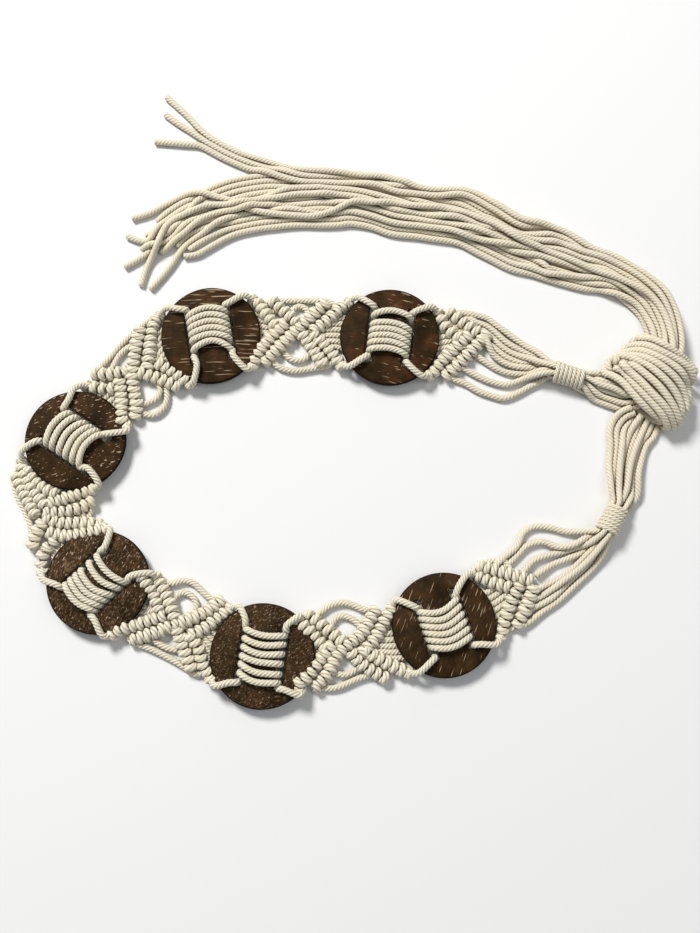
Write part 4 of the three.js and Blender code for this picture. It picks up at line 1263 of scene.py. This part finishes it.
# lanes at stations 0 to 8, layer above the floor, and places from the last station to the tip
TAIL_LANES = [
    ([0.9, 0.9, 0.95, 1.1, 1.1, 1.1, 1.1, 1.1, 1.1], 9,
     [(-24.2, 184.9), (-36.1, 187.5), (-55.4, 195.2), (-72.2, 199.7), (-85.6, 206.1), (-93, 213.3),
      (-102.9, 225), (-116.6, 238.1)]),
    ([0.3, 0.4, 0.6, 0.75, 0.8, 0.8, 0.75, 0.8, 0.8], 2,
     [(-24.1, 181.4), (-39.7, 184.2), (-60.1, 191.2), (-79.5, 200), (-88, 205.2), (-99, 213.4),
      (-108.8, 219.9), (-116.9, 226)]),
    ([0.6, 0.7, 0.8, 0.95, 0.95, 0.85, 0.9, 0.65, 0.7], 5,
     [(-26.5, 179.4), (-48.1, 184), (-60.1, 188), (-77, 197.6), (-86.7, 203.4), (-94, 205.9),
      (-104.8, 206.1), (-122.9, 207.4)]),
    ([-0.1, 0, 0.2, 0.4, 0.5, 0.6, 0.6, 0.8, 0.9], 2,
     [(-24.2, 183.2), (-42.1, 183.6), (-60, 182.9), (-76.6, 179.8), (-89.6, 173.4), (-101.3, 165.8),
      (-113, 159.5), (-119.9, 153.9)]),
    ([-0.4, -0.4, -0.4, -0.5, -0.55, -0.2, 0.35, 0.5, 0.6], 2,
     [(-24, 180), (-42.1, 181.6), (-59.9, 180.1), (-76.5, 176), (-91.8, 168.4), (-103.4, 158.3),
      (-115, 148.2), (-126.6, 143.2)]),
    ([-0.7, -0.6, -0.6, -0.7, -0.75, -0.4, 0.2, 0.4, 0.5], 2,
     [(-20, 178), (-36.1, 179.1), (-53.9, 177.5), (-71.7, 174.3), (-85.9, 169.6), (-97.7, 164.6),
      (-109.3, 155.7), (-118.5, 147), (-124.2, 141.4), (-131.3, 142), (-137.9, 144.5)]),
    ([0, -0.1, -0.2, -0.3, -0.35, -0.5, 0.05, 0.3, 0.35], 3,
     [(-24.1, 175), (-41.9, 173.4), (-59.7, 168.4), (-81, 162), (-97.4, 155.7), (-109, 145.7),
      (-118.2, 139.5), (-126.3, 133.2)]),
    ([-0.8, -0.8, -0.8, -0.6, -0.6, -0.65, -0.1, 0.2, 0.25], 2,
     [(-18, 173.6), (-36, 173.6), (-59.8, 171.2), (-76.3, 165.8), (-91.6, 159.5), (-103.2, 152),
      (-113.6, 143.2), (-122.8, 135.7), (-130.8, 129.5), (-138.9, 124.3)]),
    ([0.3, 0.3, 0.4, 0.5, 0.55, 0.15, -0.35, -0.05, 0.1], 8,
     [(-14, 170.6), (-30, 170.6), (-47.8, 168), (-69.1, 164.3), (-89.3, 163.3), (-103.4, 157.3),
      (-111.5, 149.7), (-119.4, 138.2), (-124.8, 125.8), (-128.4, 112.2)]),
    ([0.1, 0.1, 0.2, 0.3, 0.35, 0, -0.5, -0.2, -0.1], 8,
     [(-16, 165.6), (-35.9, 164.6), (-59.6, 162), (-80.9, 158.3), (-95, 153.2), (-106.6, 145.7),
      (-115.8, 138.2), (-120.5, 135.7)]),
    ([0.3, 0.1, -0.1, -0.3, -0.2, 0.1, 0.3, 0.1, -0.25], 9,
     [(-12.1, 159.5), (-24, 156.8), (-41.8, 157.6), (-59.6, 160.5), (-76.3, 166.2), (-91.9, 170.4),
      (-103.8, 169.6), (-115.5, 164.6), (-124.8, 159.5), (-135.4, 156)]),
    ([-0.2, -0.1, 0, 0.1, 0.15, -0.15, -0.65, -0.5, -0.5], 8,
     [(-8, 158.8), (-29.9, 160.5), (-52.5, 160.5), (-71.4, 155.7), (-85.5, 151), (-94.8, 144.7),
      (-102.8, 136.6), (-110.7, 124.6), (-117.4, 115.9), (-122.5, 110)]),
    ([-0.5, -0.5, -0.5, -0.85, -0.9, -0.9, -0.8, -0.8, -0.75], 5,
     [(-24, 155.7), (-47.7, 155.1), (-66.6, 152.2), (-83, 146), (-94.6, 139.1), (-100.4, 134.9)]),
    ([-0.9, -0.9, -0.9, -0.9, -1, -1.4, -1.1, -0.95, -0.9], 5,
     [(-6.2, 153.4), (-35.8, 152.6), (-59.4, 150.7), (-72.3, 145.7), (-85.2, 138.2), (-94.4, 132.9),
      (-102.7, 131.4)]),
    ([0.5, 0.5, 0.6, 0.7, 0.75, 0.3, -0.8, -0.4, -0.2], 8,
     [(-14, 162), (-38, 160), (-62, 156), (-82, 152.4), (-98, 148), (-110, 140)]),
    ([0, -0.6, -0.4, 0.4, 0.8, 0.3, -0.1, 0.1, 0.45], 2,
     [(-12, 174.4), (-36, 170), (-60, 165.4), (-84, 157), (-100, 150), (-113, 147)]),
]


def tail_routes():
    station = TAIL_LINE[:, 0]
    ahead = directions(TAIL_LINE[:, 1:3])
    side = np.stack([ahead[:, 1], -ahead[:, 0]], 1)
    crowds = np.interp(station, (1, 2, 3, 4), (1, 0.7, 0.3, 0))
    routes = []
    for k, (lanes, layer, end) in enumerate(TAIL_LANES):
        lanes = np.convolve(np.pad(lanes, 1, mode="edge"), (0.22, 0.56, 0.22), mode="valid")
        lanes = np.clip(np.interp(station, range(9), lanes), -1, 1)
        points = [(180 + (k % 4) * 1.5, 56 + (k // 4) * 1.6, 7 + (k % 4) * 1.6)]
        for row, across, share, crowd in zip(TAIL_LINE, side, lanes, crowds):
            x, y = row[1:3] + across * share * row[3 if share > 0 else 4]
            points.append((x, y, 2 + layer * (0.9 + 0.3 * crowd) + 3.0 * crowd))
        for n, (x, y) in enumerate(end):
            fall = max(0.0, 1 - n / (len(end) - 1.0))
            points.append((x, y, 2 + layer * 0.8 * fall))
        routes.append(even(through(points), 2.0))
    return routes


# %% [markdown]
# Necks and tail settle together, because they lie on each other. The tail's cords sink most, down
# to the floor. The knot settles on its own, over a plain plump body that stands for its hidden
# inner turns. Afterwards each route is cut again into even steps and gets its mesh.

# %% Knot and necks
calm = settle(tail_routes() + neck_routes("a") + neck_routes("b"), rounds=46, sink=0.2, sideways=0.4)
tails, necks = calm[:16], {"a": calm[16:24], "b": calm[24:32]}
# height of each ring of the inner body, and its share of the knot's outline
HEART = [(3.0, 0.5), (6.0, 0.72), (11.0, 0.76), (14.0, 0.66), (16.2, 0.46), (17.0, 0.2)]
SLACK_VALLEY, KNOT_VALLEY = 0.88, 0.9


def knot_heart():
    """The hidden inner turns of the knot, as one plump body that closes the gaps."""
    ring = np.array(KNOT_OUTLINE)[::-1] - KNOT_MIDDLE
    ring = even(through([(x, y, 0) for x, y in ring], closed=True), 4)[:-1, :2]
    count = len(ring)
    corners = [(*(KNOT_MIDDLE + p * share), z) for z, share in HEART for p in ring]
    corners += [(*KNOT_MIDDLE, HEART[0][0]), (*KNOT_MIDDLE, HEART[-1][0])]
    i, k = np.meshgrid(np.arange(len(HEART) - 1), np.arange(count), indexing="ij")
    i, k = i.ravel(), k.ravel()
    a, b = i * count + k, i * count + (k + 1) % count
    c = np.arange(count)
    low, high = len(HEART) * count, len(HEART) * count + 1
    last = (len(HEART) - 1) * count
    faces = np.concatenate([np.stack([a, b + count, b], 1), np.stack([a, a + count, b + count], 1),
                            np.stack([c, (c + 1) % count, np.full(count, low)], 1),
                            np.stack([last + (c + 1) % count, last + c, np.full(count, high)], 1)])
    corners = np.array(corners, float)
    uvs = np.concatenate([corners[faces[:, n]][:, :2] / 10 for n in range(3)], axis=1)
    return corners, faces, uvs


loops = settle([knot_loop(*row) for row in TOP_CORDS], rounds=16, sink=0.0, sideways=0.3)
paths = measured([even(through(r[:-1], closed=True, fine=3), STEP) for r in loops])
cords = [twisted_cord(r, KNOT_CORD, closed=True, phase=0.07 * n, valley=KNOT_VALLEY)
         for n, r in enumerate(paths)]
stands_for(mesh_piece("knot", cords + [knot_heart()], SLACK_COTTON), "tie_knot")
for end in ("a", "b"):
    paths = measured([even(through(r, fine=3), STEP) for r in necks[end]])
    cords = [twisted_cord(r, tapered(r, True), phase=0.1 * k, valley=SLACK_VALLEY)
             for k, r in enumerate(paths)]
    stands_for(mesh_piece(f"neck_cords_{end}", cords, SLACK_COTTON), f"neck_{end}")

# %% [markdown]
# Every cord of the tail is a piece of its own, and its length is measured for the total.

for k, route in enumerate(tails):
    path, = measured([even(through(route, fine=3), STEP)])
    cord = twisted_cord(path, phase=0.06 * k, valley=SLACK_VALLEY)
    piece = mesh_piece(f"tail_cord_{k + 1:02d}", [cord], SLACK_COTTON)
    stands_for(piece, "tail")

# %% Finish
print("cord in the scene:", round(sum(drawn) / 1000, 2), "m")
